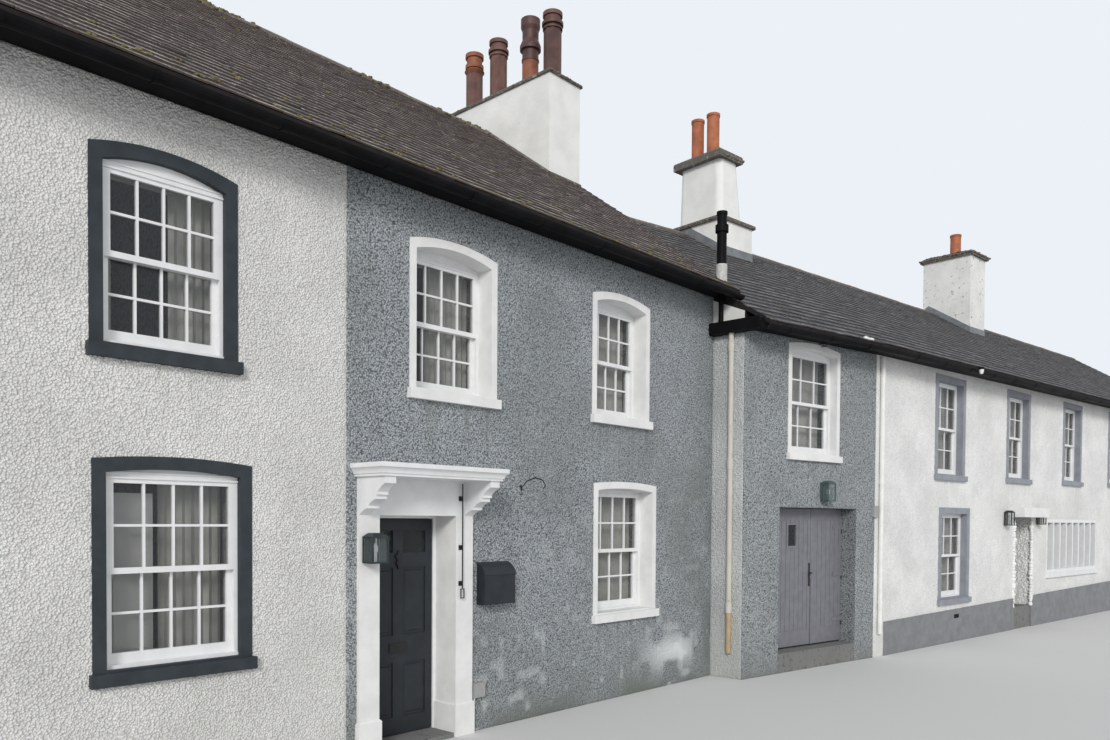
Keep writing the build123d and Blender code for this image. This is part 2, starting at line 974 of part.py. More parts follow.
def gutter_points(roof, rear):
    centre = fascia_back - overhang - gutter_radius
    level = slate_top(roof, -overhang) - upright(slates, roof.grade) - gutter_drop
    turns = [pi * i / gutter_sides for i in range(gutter_sides + 1)]
    inner = gutter_radius - gutter_skin
    points = [(centre - gutter_radius * cos(a), level - gutter_radius * sin(a)) for a in turns]
    points += [(centre - inner * cos(a), level - inner * sin(a)) for a in reversed(turns)]
    return mirrored(roof, points, rear)


def slate_plane(face, roof, rise=0, lift=0):
    """The upper surface of a front slope."""
    place = section(face, 0)
    normal = Vector(0, 0, 1) - place.x_dir * roof.grade - place.z_dir * rise
    return Plane(origin=place.from_local_coords((0, slate_top(roof, 0) + lift, 0)), z_dir=normal)


def garage_run(points, front):
    """Draws eaves out along the garage house; at the front they run on past its left corner."""
    with BuildPart() as run:
        draw_out(lifted(points, garage_fall), section(garage_face, -reach), 2 * reach, right_rise)
        split(bisect_by=return_plane if front else grey_gable_plane, keep=Keep.TOP)
        split(bisect_by=long_end_plane, keep=Keep.BOTTOM)
    return run.part


return_plane = grey_gable_plane.offset(-return_box_width)
left_eaves_end = grey_width - eaves_clearance
with BuildPart() as verge_eaves:
    for rear in (False, True):
        draw_out(eaves_points(left_roof, rear), section(left_face, left_eaves_end), verge + eaves_clearance)
    garage_slates = slate_plane(garage_face, right_roof, right_rise, -right_rise * garage_width)
    split(bisect_by=garage_slates.offset(eaves_clearance), keep=Keep.TOP)
garage_front_eaves = garage_run(eaves_points(right_roof, False), True)
garage_rear_eaves = garage_run(eaves_points(right_roof, True), False)
with BuildPart() as eaves:
    for rear in (False, True):
        draw_out(eaves_points(left_roof, rear), section(left_face, -white_width), white_width + left_eaves_end)
        draw_out(eaves_points(right_roof, rear), section(long_face, 0), long_length, right_rise)
    add(verge_eaves.part)
    add(garage_front_eaves)
    add(garage_rear_eaves)
    rod(
        left_face, vent_along, -vent_out, left_roof.soffit - fascia_drop, 2 * fascia_drop,
        vent_low_radius + vent_hole_gap, Mode.SUBTRACT,
    )
save(eaves, "fascias_and_soffits")

# Gutters, with the box that takes the grey house's waste pipe round the garage corner
return_box_foot = right_roof.soffit - return_box_drop
return_box_reach = garage_forward + overhang - return_box_short
with BuildPart() as return_box:
    block(
        left_face, grey_width - return_box_width, -return_box_reach, return_box_width, return_box_reach,
        return_box_foot, return_box_height,
    )
    add(garage_front_eaves, mode=Mode.SUBTRACT)
garage_front_gutter = garage_run(gutter_points(right_roof, False), True)
garage_rear_gutter = garage_run(gutter_points(right_roof, True), False)
with BuildPart() as gutters:
    for rear in (False, True):
        draw_out(gutter_points(left_roof, rear), section(left_face, -white_width), white_width + grey_width + verge)
        draw_out(gutter_points(right_roof, rear), section(long_face, 0), long_length, right_rise)
    add(garage_front_gutter)
    add(garage_rear_gutter)
    add(return_box.part)
save(gutters, "gutters")


# Window surrounds: a band round the opening, a lined reveal and a projecting sill
def cut_linings(windows):
    for w in windows:
        outline(
            w.left + skin, w.foot + skin, w.width - 2 * skin, w.height - 2 * skin, w.rise, mode=Mode.SUBTRACT
        )


def front_sills(face, windows, band):
    for w in windows:
        wing = band + sill_wing
        plate(face, w.left - wing, w.foot - sill_height, w.width + 2 * wing, sill_height, sill_proud)


def surround_set(face, windows, band, reveal):
    with BuildSketch(face) as shape:
        for w in windows:
            outline(w.left - band, w.foot - sill_height, w.width + 2 * band, w.height + band + sill_height, w.rise)
        cut_linings(windows)
    extrude(shape.sketch, amount=skin)
    with BuildSketch(face) as shape:
        for w in windows:
            outline(w.left, w.foot, w.width, w.height, w.rise)
        cut_linings(windows)
    extrude(shape.sketch, amount=-reveal)
    front_sills(face, windows, band)


with BuildPart() as white_surrounds:
    surround_set(left_face, white_windows, surround_white, white_reveal)
save(white_surrounds, "dark_window_surrounds")

with BuildPart() as grey_surrounds:
    surround_set(left_face, grey_windows, surround_grey, grey_reveal)
    surround_set(garage_face, garage_windows, surround_grey, garage_reveal)
save(grey_surrounds, "white_window_surrounds")

with BuildPart() as long_surrounds:
    surround_set(long_face, long_windows, surround_long, long_reveal)
save(long_surrounds, "grey_window_surrounds")


def rear_sills(face, windows):
    for w in windows:
        plate(
            face, w.left - sill_wing, w.foot - sill_height, w.width + 2 * sill_wing, sill_height, -sill_proud
        )


with BuildPart() as sills:
    rear_sills(left_rear_face, rear_left_windows)
    rear_sills(garage_rear_face, rear_garage_windows)
    rear_sills(long_rear_face, rear_long_windows)
save(sills, "rear_window_sills")


# Sash windows: a box frame, an upper sash in front and a lower sash behind it
def sash_box(w, lower):
    width = w.width - 2 * box_frame
    height = w.height - w.rise - 2 * box_frame
    each = (height + sash_rail) / 2
    foot = w.foot + box_frame
    return w.left + box_frame, foot if lower else foot + height - each, width, each


def sash_light(w, lower, mode=Mode.ADD):
    """The glass of a sash, inside its rails; the lower sash has the deeper foot rail."""
    left, foot, width, height = sash_box(w, lower)
    foot_rail = sash_foot_rail if lower else sash_rail
    outline(
        left + sash_rail, foot + foot_rail, width - 2 * sash_rail, height - sash_rail - foot_rail,
        mode=mode,
    )


def sash_set(face, windows, inward=1):
    """Fills each opening with its frame and sashes, from the plane of the face inwards."""
    with BuildSketch(face) as shape:
        for w in windows:
            outline(w.left, w.foot, w.width, w.height, w.rise)
            outline(
                w.left + box_frame, w.foot + box_frame, w.width - 2 * box_frame,
                w.height - w.rise - 2 * box_frame, mode=Mode.SUBTRACT,
            )
    extrude(shape.sketch, amount=-2 * sash_thick * inward)
    for lower in (False, True):
        with BuildSketch(face.offset(-sash_thick * inward if lower else 0)) as shape:
            for w in windows:
                outline(*sash_box(w, lower))
                sash_light(w, lower, Mode.SUBTRACT)
        extrude(shape.sketch, amount=-sash_thick * inward)


def pane_set(face, windows, inward=1):
    for lower in (False, True):
        middle = sash_thick * (1.5 if lower else 0.5)
        with BuildSketch(face.offset(-middle * inward)) as shape:
            for w in windows:
                sash_light(w, lower)
        extrude(shape.sketch, amount=-pane * inward)


with BuildPart() as left_sashes:
    sash_set(left_face.offset(-white_reveal), white_windows)
    sash_set(left_face.offset(-grey_reveal), grey_windows)
save(left_sashes, "left_sash_windows")

with BuildPart() as right_sashes:
    sash_set(garage_face.offset(-garage_reveal), garage_windows)
    sash_set(long_face.offset(-long_reveal), long_windows)
save(right_sashes, "right_sash_windows")

with BuildPart() as rear_sashes:
    sash_set(left_rear_face.offset(rear_setback), rear_left_windows, -1)
    sash_set(garage_rear_face.offset(rear_setback), rear_garage_windows, -1)
    sash_set(long_rear_face.offset(rear_setback), rear_long_windows, -1)
save(rear_sashes, "rear_sash_windows")

f = finned_window
with BuildPart() as glass:
    pane_set(left_face.offset(-white_reveal), white_windows)
    pane_set(left_face.offset(-grey_reveal), grey_windows)
    pane_set(garage_face.offset(-garage_reveal), garage_windows)
    pane_set(long_face.offset(-long_reveal), long_windows)
    pane_set(left_rear_face.offset(rear_setback), rear_left_windows, -1)
    pane_set(garage_rear_face.offset(rear_setback), rear_garage_windows, -1)
    pane_set(long_rear_face.offset(rear_setback), rear_long_windows, -1)
    plate(long_face.offset(-fin_depth), f.left, f.foot, f.width, f.height, -pane)
save(glass, "window_glass")

# Finned window of the long house: a frame with upright fins
fin_space = (f.width - 2 * fin_frame - fin_count * fin_width) / (fin_count + 1)
with BuildPart() as fins:
    with BuildSketch(long_face):
        outline(f.left, f.foot, f.width, f.height)
        for i in range(fin_count + 1):
            start = f.left + fin_frame + i * (fin_space + fin_width)
            outline(start, f.foot + fin_frame, fin_space, f.height - 2 * fin_frame, mode=Mode.SUBTRACT)
    extrude(amount=-fin_depth)
    front_sills(long_face, [f], 0)
save(fins, "finned_window")

# Front door surround: pilasters with wider feet, their reveals, and the head
surround_left = door_left - pilaster_width
surround_right = door_right + pilaster_width


def pilaster_block(outer, inner, lining):
    """A foot block that wraps round the pilaster into the reveal, with a bevelled top."""
    with BuildPart() as foot_block:
        with BuildSketch(ground_plan(left_face, 0)):
            with BuildLine():
                Polyline(
                    (outer, 0), (outer, -foot_proud), (inner, -foot_proud), (inner, door_setback),
                    (lining, door_setback), (lining, 0), close=True,
                )
            make_face()
        extrude(amount=pilaster_foot)
        chamfer(foot_block.faces().sort_by(Axis.Z)[-1].edges(), foot_bevel)
    return foot_block.part


left_foot = pilaster_block(surround_left - foot_side, door_left + foot_side, hole_left)
right_foot = pilaster_block(surround_right + foot_side, door_right - foot_side, hole_right)
with BuildPart() as pilasters:
    for start in (surround_left, door_right):
        plate(left_face, start, 0, pilaster_width, door_height, pilaster_proud)
    for start in (hole_left, door_right):
        plate(left_face, start, 0, reveal_skin, door_height, -door_setback)
    add(left_foot)
    add(right_foot)
save(pilasters, "door_pilasters")

hood_bottom = hood_top - hood_height
with BuildPart() as door_head:
    plate(
        left_face, surround_left + bracket_width, door_height, surround_right - surround_left - 2 * bracket_width,
        hood_bottom - door_height, pilaster_proud,
    )
    plate(left_face, hole_left, door_height, hole_right - hole_left, reveal_skin, -door_setback)
save(door_head, "door_head_board")


# Hood: a slab with a moulded edge that returns to the wall at both ends, on two
# brackets that step back to the pilasters in three coves
def bracket_shape():
    nose = -bracket_reach
    level = hood_bottom - nose_drop
    with BuildLine() as edge:
        Polyline((-bracket_toe, door_height), (0, door_height), (0, hood_bottom), (nose, hood_bottom), (nose, level))
        for run, fall, drop in bracket_coves:
            SagittaArc((nose, level), (nose + run, level - fall), cove_bow)
            nose += run
            level -= fall
            Polyline((nose, level), (nose, level - bracket_step), (nose + bracket_step, level - bracket_step))
            nose += bracket_step
            level -= bracket_step
            if drop:
                Line((nose, level), (nose, level - drop))
                level -= drop
        SagittaArc((nose, level), (-bracket_toe, door_height), cove_bow)
    make_face(edge.edges())


hood_left = surround_left - hood_overlap
hood_right = surround_right + hood_overlap
cove_top = hood_step + hood_cove
with BuildPart() as hood:
    for start in (surround_left, surround_right - bracket_width):
        with BuildSketch(section(left_face, start)):
            bracket_shape()
        extrude(amount=bracket_width)
    block(
        left_face, hood_left + hood_edge, -hood_reach + hood_edge, hood_right - hood_left - 2 * hood_edge,
        hood_reach - hood_edge, hood_bottom, hood_height,
    )
    with BuildLine(ground_plan(left_face, hood_bottom)) as edge_path:
        Polyline(
            (hood_left + hood_edge, 0),
            (hood_left + hood_edge, -hood_reach + hood_edge),
            (hood_right - hood_edge, -hood_reach + hood_edge),
            (hood_right - hood_edge, 0),
        )
    edge_start = left_face.from_local_coords((hood_left + hood_edge, hood_bottom, 0))
    with BuildSketch(Plane(origin=edge_start, x_dir=(-1, 0, 0), z_dir=(0, 1, 0))):
        with BuildLine():
            Polyline((0, 0), (hood_fillet, 0), (hood_fillet, hood_step), (hood_step, hood_step))
            SagittaArc((hood_step, hood_step), (hood_edge, cove_top), cove_bow)
            Polyline((hood_edge, cove_top), (hood_edge, hood_height), (0, hood_height), (0, 0))
        make_face()
    sweep(path=edge_path.line, transition=Transition.RIGHT)
save(hood, "door_hood")

# Door frame in the reveal
leaf_back = door_setback + frame_step + door_thick
jamb = frame_width - reveal_skin
door_axis = (door_right - jamb - hinge_inset, leaf_back + hinge_radius + hinge_play)
with BuildPart() as door_frame:
    with BuildSketch(left_face.offset(-door_setback)):
        outline(hole_left, threshold_top, hole_right - hole_left, hole_head - threshold_top)
        outline(
            door_left + jamb, threshold_top, door_width - 2 * jamb, door_height - jamb - threshold_top,
            mode=Mode.SUBTRACT,
        )
    extrude(amount=-frame_depth)
    for foot in door_hinge_feet:
        knuckle(left_face, door_axis, foot, door_right - jamb, None)
save(door_frame, "front_door_frame")

# Front door leaf with two lights, two tall and two short raised and bevelled panels
leaf_left = door_left + jamb + gap
leaf_right = door_right - jamb - gap
leaf_foot = threshold_top + frame_step
leaf_head = door_height - jamb - gap
leaf_face = left_face.offset(-door_setback - frame_step)
panel_width = (leaf_right - leaf_left - 2 * stile - muntin) / 2
panel_lefts = (leaf_left + stile, leaf_left + stile + panel_width + muntin)
with BuildPart() as front_door:
    with BuildSketch(leaf_face):
        outline(leaf_left, leaf_foot, leaf_right - leaf_left, leaf_head - leaf_foot)
        for start in panel_lefts:
            outline(start, light_foot, panel_width, light_height, mode=Mode.SUBTRACT)
    extrude(amount=-door_thick)
    for start in panel_lefts:
        for foot, height in ((tall_foot, tall_height), (short_foot, short_height)):
            plate(leaf_face, start, foot, panel_width, height, -panel_sink, Mode.SUBTRACT)
            with BuildSketch(leaf_face.offset(-panel_sink)) as field:
                outline(
                    start + field_margin, foot + field_margin, panel_width - 2 * field_margin,
                    height - 2 * field_margin,
                )
            extrude(field.sketch, amount=field_raise, taper=field_slope)
    for foot in door_hinge_feet:
        knuckle(left_face, door_axis, foot + hinge_height + hinge_play, door_axis[0] - hinge_plate, leaf_back)
save(front_door, "front_door")

with BuildPart() as door_lights:
    for start in panel_lefts:
        plate(leaf_face.offset(-door_thick / 2), start, light_foot, panel_width, light_height, -pane)
save(door_lights, "front_door_glass")

# Letter plate, knocker and knob on the leaf
leaf_middle = (leaf_left + leaf_right) / 2
with BuildPart() as door_fittings:
    with BuildSketch(leaf_face):
        with Locations((leaf_middle, plate_centre)):
            RectangleRounded(plate_width, plate_height, plate_thick)
    extrude(amount=plate_thick)
    with BuildSketch(leaf_face):
        with Locations((leaf_middle, knocker_centre)):
            Polygon(
                *[(p * knocker_width, q * knocker_height) for p, q in knocker_half]
                + [(-p * knocker_width, q * knocker_height) for p, q in reversed(knocker_half[1:-1])],
                align=None,
            )
    extrude(amount=knocker_thick)
    with BuildSketch(leaf_face):
        with Locations((leaf_left + knob_inset, knob_height)):
            Circle(knob_radius)
    extrude(amount=knob_reach)
save(door_fittings, "front_door_fittings")

# Garage leaves: framed and boarded, side hung in a recess
meeting = garage_left + left_leaf_width
recess_face = garage_face.offset(-leaf_setback)
leaf_top = garage_head - gap
light = Window(garage_left + light_left, light_sill, light_width, garage_light_height, 0)
axis_back = leaf_setback - hinge_radius - hinge_play
garage_axes = ((garage_left + hinge_inset, axis_back), (garage_right - hinge_inset, axis_back))
with BuildPart() as garage_pins:
    for axis, side in zip(garage_axes, (garage_left, garage_right)):
        for foot in garage_hinge_feet:
            knuckle(garage_face, axis, foot, side, None)
save(garage_pins, "garage_hinge_pins")


def garage_leaf(left, right, axis, strap_end, window=None):
    width = right - left
    with BuildSketch(recess_face) as shape:
        outline(left, leaf_bottom, width, leaf_top - leaf_bottom)
        if window:
            outline(window.left, window.foot, window.width, window.height, mode=Mode.SUBTRACT)
    extrude(shape.sketch, amount=-leaf_thick)
    boards_foot = leaf_bottom + leaf_low_rail
    with BuildSketch(recess_face) as shape:
        outline(left + leaf_stile, boards_foot, width - 2 * leaf_stile, leaf_top - leaf_top_rail - boards_foot)
        if window:
            outline(
                window.left - light_margin, window.foot - light_margin, window.width + 2 * light_margin,
                window.height + 2 * light_margin, mode=Mode.SUBTRACT,
            )
    extrude(shape.sketch, amount=-board_inset, mode=Mode.SUBTRACT)
    for foot in garage_hinge_feet:
        knuckle(garage_face, axis, foot + hinge_height + hinge_play, strap_end, leaf_setback)


with BuildPart() as left_leaf:
    garage_leaf(
        garage_left + gap, meeting - gap / 2, garage_axes[0], garage_axes[0][0] + garage_strap, light
    )
save(left_leaf, "garage_left_leaf")

with BuildPart() as right_leaf:
    garage_leaf(meeting + gap / 2, garage_right - gap, garage_axes[1], garage_axes[1][0] - garage_strap)
    plate(recess_face, meeting + gap / 2, leaf_bottom, strip_width, strip_height, strip_proud)
save(right_leaf, "garage_right_leaf")

with BuildPart() as garage_light:
    plate(
        recess_face.offset(-leaf_thick / 2), light.left, light.foot, light.width, light.height, -pane
    )
save(garage_light, "garage_leaf_glass")

# Porch of the long house: a stone slab hood over a deep doorway
with BuildPart() as porch_slab:
    plate(
        long_face, porch_left - porch_slab_wing, porch_head, porch_width + 2 * porch_slab_wing,
        porch_slab_height, porch_slab_reach,
    )
save(porch_slab, "porch_hood")

# Plain doors of the long house and the white house
with BuildPart() as plain_doors:
    plate(
        long_face.offset(-wall + door_thick), porch_left, long_floor_top, porch_width,
        porch_head - long_floor_top, -door_thick,
    )
    plate(
        left_face.offset(-door_setback), white_door_left, ground_floor_top, door_width,
        door_height - ground_floor_top, -door_thick,
    )
save(plain_doors, "plain_doors")

with BuildPart() as steps:
    plate(long_face, porch_left, 0, porch_width, long_floor_top, -wall)
    plate(left_face, white_door_left, 0, door_width, ground_floor_top, -wall)
    plate(garage_face, garage_left, 0, garage_opening, garage_floor_top, -garage_wall)
    block(
        left_face, door_left + foot_side, -pilaster_proud, door_width - 2 * foot_side,
        door_setback + pilaster_proud, 0, threshold_top,
    )
    block(left_face, hole_left, door_setback, hole_right - hole_left, wall - door_setback, 0, threshold_top)
save(steps, "doorway_sills")

# Plinth along the long house, cut at the porch
with BuildPart() as plinth:
    with BuildSketch(long_face):
        for start, end in ((plinth_start, porch_left), (porch_right, long_length)):
            wall_shape(sloping_wall(end - start, start, plinth_top))
    extrude(amount=plinth_proud)
save(plinth, "long_house_plinth")


# Pipes
def pipe_bracket(face, along, out, height, side, back):
    """A ring round a pipe with an arm to the wall, either to the side or to the back."""
    with BuildSketch(ground_plan(face, height)) as shape:
        with Locations((along, -out)):
            Circle(pipe_radius + bracket_skin)
        with Locations((along + side / 2, -out + back / 2)):
            Rectangle(side or bracket_thick, back or bracket_thick)
        with Locations((along, -out)):
            Circle(pipe_radius, mode=Mode.SUBTRACT)
    extrude(shape.sketch, amount=bracket_thick)


def socket(face, along, out, foot):
    rod(face, along, -out, foot, socket_height, pipe_radius + socket_skin)
    rod(face, along, -out, foot, socket_height, pipe_radius, Mode.SUBTRACT)


cream_along = grey_width - pipe_radius - pipe_wall_gap
with BuildPart() as cream_pipe:
    for height in cream_brackets:
        pipe_bracket(left_face, cream_along, cream_pipe_out, height, pipe_radius + pipe_wall_gap, 0)
        socket(left_face, cream_along, cream_pipe_out, height + bracket_thick)
    rod(
        left_face, cream_along, -cream_pipe_out, cream_pipe_foot, return_box_foot - cream_pipe_foot, pipe_radius
    )
save(cream_pipe, "cream_downpipe")

white_pipe_out = pipe_radius + pipe_wall_gap
with BuildPart() as white_pipe:
    for height in white_brackets:
        pipe_bracket(long_face, white_pipe_along, white_pipe_out, height, 0, white_pipe_out)
    rod(
        long_face, white_pipe_along, -white_pipe_out, white_pipe_foot,
        right_roof.soffit - fascia_drop - white_pipe_foot, pipe_radius,
    )
save(white_pipe, "white_downpipe")

# Vent pipe: narrow below the soffit, wide above it, with a collar on the slates
with BuildPart() as vent_collar:
    rod(
        left_face, vent_along, -vent_out, left_roof.soffit, collar_top - left_roof.soffit,
        vent_radius + vent_hole_gap + collar_skin,
    )
    split(bisect_by=slate_plane(left_face, left_roof), keep=Keep.TOP)
box_top = return_box_foot + return_box_height
vent_stages = [
    (vent_low_radius, box_top, vent_widen),
    (vent_radius, vent_widen, vent_top),
    (vent_radius + vent_socket_skin, vent_socket_foot, vent_socket_top),
    (vent_radius + vent_rim_skin, vent_top - vent_rim, vent_top),
]
with BuildPart() as vent:
    add(vent_collar.part)
    for radius, foot, top in vent_stages:
        rod(left_face, vent_along, -vent_out, foot, top - foot, radius)
    rod(
        left_face, vent_along, -vent_out, vent_top - vent_bore, vent_bore, vent_radius - vent_skin, Mode.SUBTRACT
    )
save(vent, "vent_pipe")


# Lanterns: an open cage of posts between a tray and a hipped roof, on a back plate
def lantern(face, left, foot, width, height, depth, stand):
    near = -stand - depth
    cage = height - 2 * lantern_post
    block(face, left, near, width, depth, foot, height)
    for side, back in ((lantern_post, 0), (0, lantern_post)):
        block(
            face, left + side, near + back, width - 2 * side, depth - 2 * back, foot + lantern_post, cage,
            Mode.SUBTRACT,
        )
    roofs = []
    for level, share in ((foot + height, 1), (foot + height + lantern_roof, lantern_taper)):
        with BuildSketch(ground_plan(face, level)) as rim:
            with Locations((left + width / 2, near + depth / 2)):
                Rectangle(width * share, depth * share)
        roofs.append(rim.sketch)
    loft(roofs, ruled=True)
    block(face, left + width / 4, -stand - lantern_post, width / 2, stand + lantern_post, foot, height)


with BuildPart() as lanterns:
    lantern(left_face.offset(pilaster_proud), *door_lantern)
    lantern(garage_face, *garage_lantern)
    lantern(long_face, *left_porch_lantern)
    lantern(long_face, *right_porch_lantern)
save(lanterns, "wall_lanterns")

with BuildPart() as wall_boxes:
    plate(left_face, *meter_box)
    plate(garage_face, *small_box)
save(wall_boxes, "wall_boxes")

# Letterbox with a curved lid that has a lip
with BuildPart() as letterbox:
    with BuildSketch(section(left_face, letterbox_left)):
        with BuildLine():
            Polyline(
                (0, letterbox_top), (0, letterbox_foot), (-letterbox_depth, letterbox_foot),
                (-letterbox_depth, letterbox_front),
            )
            SagittaArc((-letterbox_depth, letterbox_front), (0, letterbox_top), letterbox_bow)
        make_face()
    extrude(amount=letterbox_width)
    with BuildSketch(section(left_face, letterbox_left - letterbox_lid)):
        with BuildLine():
            lip = -letterbox_depth - letterbox_lid
            Polyline((-letterbox_depth, letterbox_front), (lip, letterbox_front))
            SagittaArc((lip, letterbox_front), (0, letterbox_top + letterbox_lid), letterbox_bow)
            Polyline((0, letterbox_top + letterbox_lid), (0, letterbox_top))
            SagittaArc((0, letterbox_top), (-letterbox_depth, letterbox_front), -letterbox_bow)
        make_face()
    extrude(amount=letterbox_width + 2 * letterbox_lid)
save(letterbox, "letterbox")

# Bell pull: a rod with its holders and a stirrup on the right pilaster
bell_face = left_face.offset(pilaster_proud)
with BuildPart() as bell_pull:
    rod(bell_face, bell_along, -bell_out, bell_foot, bell_top - bell_foot, bell_radius)
    for height in bell_brackets:
        plate(
            bell_face, bell_along - bell_plate / 2, height - bell_plate / 2, bell_plate, bell_plate, stirrup_bar
        )
        block(
            bell_face, bell_along - bell_radius, -bell_out, 2 * bell_radius, bell_out, height - bell_radius,
            2 * bell_radius,
        )
    with BuildSketch(bell_face.offset(bell_out - stirrup_bar / 2)):
        outline(bell_along - stirrup_width / 2, bell_foot - stirrup_height, stirrup_width, stirrup_height)
        outline(
            bell_along - stirrup_width / 2 + stirrup_bar, bell_foot - stirrup_height + stirrup_bar,
            stirrup_width - 2 * stirrup_bar, stirrup_height - 2 * stirrup_bar, mode=Mode.SUBTRACT,
        )
    extrude(amount=stirrup_bar)
save(bell_pull, "bell_pull")


# Ironwork: an arched bracket for a basket, and a loop under the eaves
def bent_bar(face, along, height, line):
    """A bar bent in the upright plane across a face, and cut flush with it."""
    with BuildPart() as bar:
        with BuildLine(section(face, along)) as bend:
            FilletPolyline(*[(-out, height + up) for out, up in line], radius=bar_bend)
        path = bend.wires()[0]
        with BuildSketch(Plane(origin=path @ 0, z_dir=path % 0)) as end:
            RegularPolygon(bar_radius, bar_sides)
        sweep(end.sketch, path=path)
        split(bisect_by=face, keep=Keep.TOP)
    return bar.part


basket_bar = bent_bar(left_face, hook_along, hook_height, hook_line)
eaves_bar = bent_bar(garage_face, loop_along, loop_height, loop_line)
with BuildPart() as iron_hooks:
    plate(
        left_face, hook_along - hook_plate[0] / 2, hook_height - hook_plate[1] / 2, hook_plate[0],
        hook_plate[1], hook_plate[2],
    )
    add(basket_bar)
    add(eaves_bar)
save(iron_hooks, "iron_hooks")
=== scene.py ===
from collections import namedtuple
from math import cos, exp, hypot, pi, radians, sin, sqrt, tan

import bmesh
import bpy
import numpy as np
from mathutils import Matrix, Vector
from numpy.random import default_rng


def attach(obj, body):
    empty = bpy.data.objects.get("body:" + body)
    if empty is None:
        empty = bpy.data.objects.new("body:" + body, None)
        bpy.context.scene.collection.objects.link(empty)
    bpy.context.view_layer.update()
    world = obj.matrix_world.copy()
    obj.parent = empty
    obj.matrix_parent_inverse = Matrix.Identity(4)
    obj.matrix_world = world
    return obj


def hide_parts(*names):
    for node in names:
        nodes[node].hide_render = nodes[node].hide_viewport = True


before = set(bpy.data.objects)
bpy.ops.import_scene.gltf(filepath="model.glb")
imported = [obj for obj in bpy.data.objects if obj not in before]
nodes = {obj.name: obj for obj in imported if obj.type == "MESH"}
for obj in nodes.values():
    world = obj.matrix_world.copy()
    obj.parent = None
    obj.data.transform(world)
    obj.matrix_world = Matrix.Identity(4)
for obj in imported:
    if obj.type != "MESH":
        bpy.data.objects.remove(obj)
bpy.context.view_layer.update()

# Main sizes of the row, in metres, as the frame has them
WHITE_WIDTH = 5.70
GREY_WIDTH = 5.61
GARAGE_WIDTH = 3.04
GARAGE_FRONT = -4.121
LONG_LENGTH = 19.0
LEFT_DEPTH = 7.3
RIGHT_DEPTH = 7.0
RETURN_WIDTH = 0.465
RISE = 0.016
OVERHANG = 0.35


class Face:
    """A front: u runs along it, out stands off it to the street, z is up."""

    def __init__(self, x, y, turn):
        a = radians(turn)
        self.x, self.y = x, y
        self.along = (cos(a), sin(a))
        self.out = (sin(a), -cos(a))

    def at(self, u, out, z):
        return (
            self.x + self.along[0] * u + self.out[0] * out,
            self.y + self.along[1] * u + self.out[1] * out,
            z,
        )


class Rear:
    """A rear wall: the same u as its front, with out measured into the house."""

    def __init__(self, face, depth):
        self.face, self.depth = face, depth

    def at(self, u, out, z):
        return self.face.at(u, out - self.depth, z)


LEFT = Face(0, -LEFT_DEPTH / 2, 0)
GARAGE = Face(GREY_WIDTH, GARAGE_FRONT, -9)
LONG = Face(*GARAGE.at(GARAGE_WIDTH, 0, 0)[:2], -6)
RETURN = Face(GREY_WIDTH, -LEFT_DEPTH / 2, -90)

# Windows, with the rise of their arched heads
Window = namedtuple("Window", "left foot width height rise")
WHITE_WINDOWS = [
    Window(-1.917, 3.185, 0.887, 1.315, 0.075),
    Window(-1.905, 0.98, 0.985, 1.40, 0.035),
    Window(-5.03, 3.185, 0.887, 1.315, 0.075),
]
GREY_WINDOWS = [
    Window(0.705, 3.19, 0.945, 1.33, 0.07),
    Window(3.215, 3.195, 0.93, 1.34, 0.07),
    Window(3.255, 0.975, 1.045, 1.435, 0.03),
]
GARAGE_WINDOWS = [Window(0.955, 2.95, 1.07, 1.455, 0.055)]
BAYS = [2.01 + 2.92 * i for i in range(6)]
LONG_WINDOWS = [Window(u, 2.79 + RISE * u, 0.96, 1.56, 0) for u in BAYS]
LONG_WINDOWS += [Window(2.2, 0.74, 1.0, 1.45, 0)]
LONG_WINDOWS += [Window(u, 0.74 + RISE * u, 0.96, 1.45, 0) for u in BAYS[4:]]
# Each front's windows, how deep their sashes are set, and how many panes they have across
FRONTS = (
    (LEFT, WHITE_WINDOWS, 0.04, 4),
    (LEFT, GREY_WINDOWS, 0.18, 4),
    (GARAGE, GARAGE_WINDOWS, 0.105, 3),
    (LONG, LONG_WINDOWS, 0.10, 3),
)
REAR_REVEAL = 0.10
BOX_FRAME = 0.04
RAIL = 0.042
FOOT_RAIL = 0.075
SASH = 0.042
BAR = 0.018

# Other openings in the fronts, by left, right, foot and head
WHITE_DOORWAY = (-5.39, -4.53, -1, 2.06)
FRONT_DOORWAY = (0.29, 1.19, -1, 2.08)
GARAGE_DOORWAY = (0.75, 2.55, -1, 2.22)
PORCH = (5.27, 6.14, -1, 2.14)
FINNED_WINDOW = (6.95, 10.01, 1.01, 2.11)

# Planes of the leaves, measured out from their fronts
FRONT_DOOR_OUT = -0.272
GARAGE_LEAF_OUT = -0.235


# Noise on a front
def value_noise(x, y, cell, seed):
    """Smooth noise from 0 to 1 on a square lattice."""
    table = default_rng(seed).random((256, 256))
    gx, gy = np.asarray(x) / cell, np.asarray(y) / cell
    ix, iy = np.floor(gx).astype(int), np.floor(gy).astype(int)
    fx, fy = gx - ix, gy - iy
    fx, fy = fx * fx * (3 - 2 * fx), fy * fy * (3 - 2 * fy)

    def t(a, b):
        return table[a % 256, b % 256]

    low = t(ix, iy) * (1 - fx) + t(ix + 1, iy) * fx
    high = t(ix, iy + 1) * (1 - fx) + t(ix + 1, iy + 1) * fx
    return low * (1 - fy) + high * fy


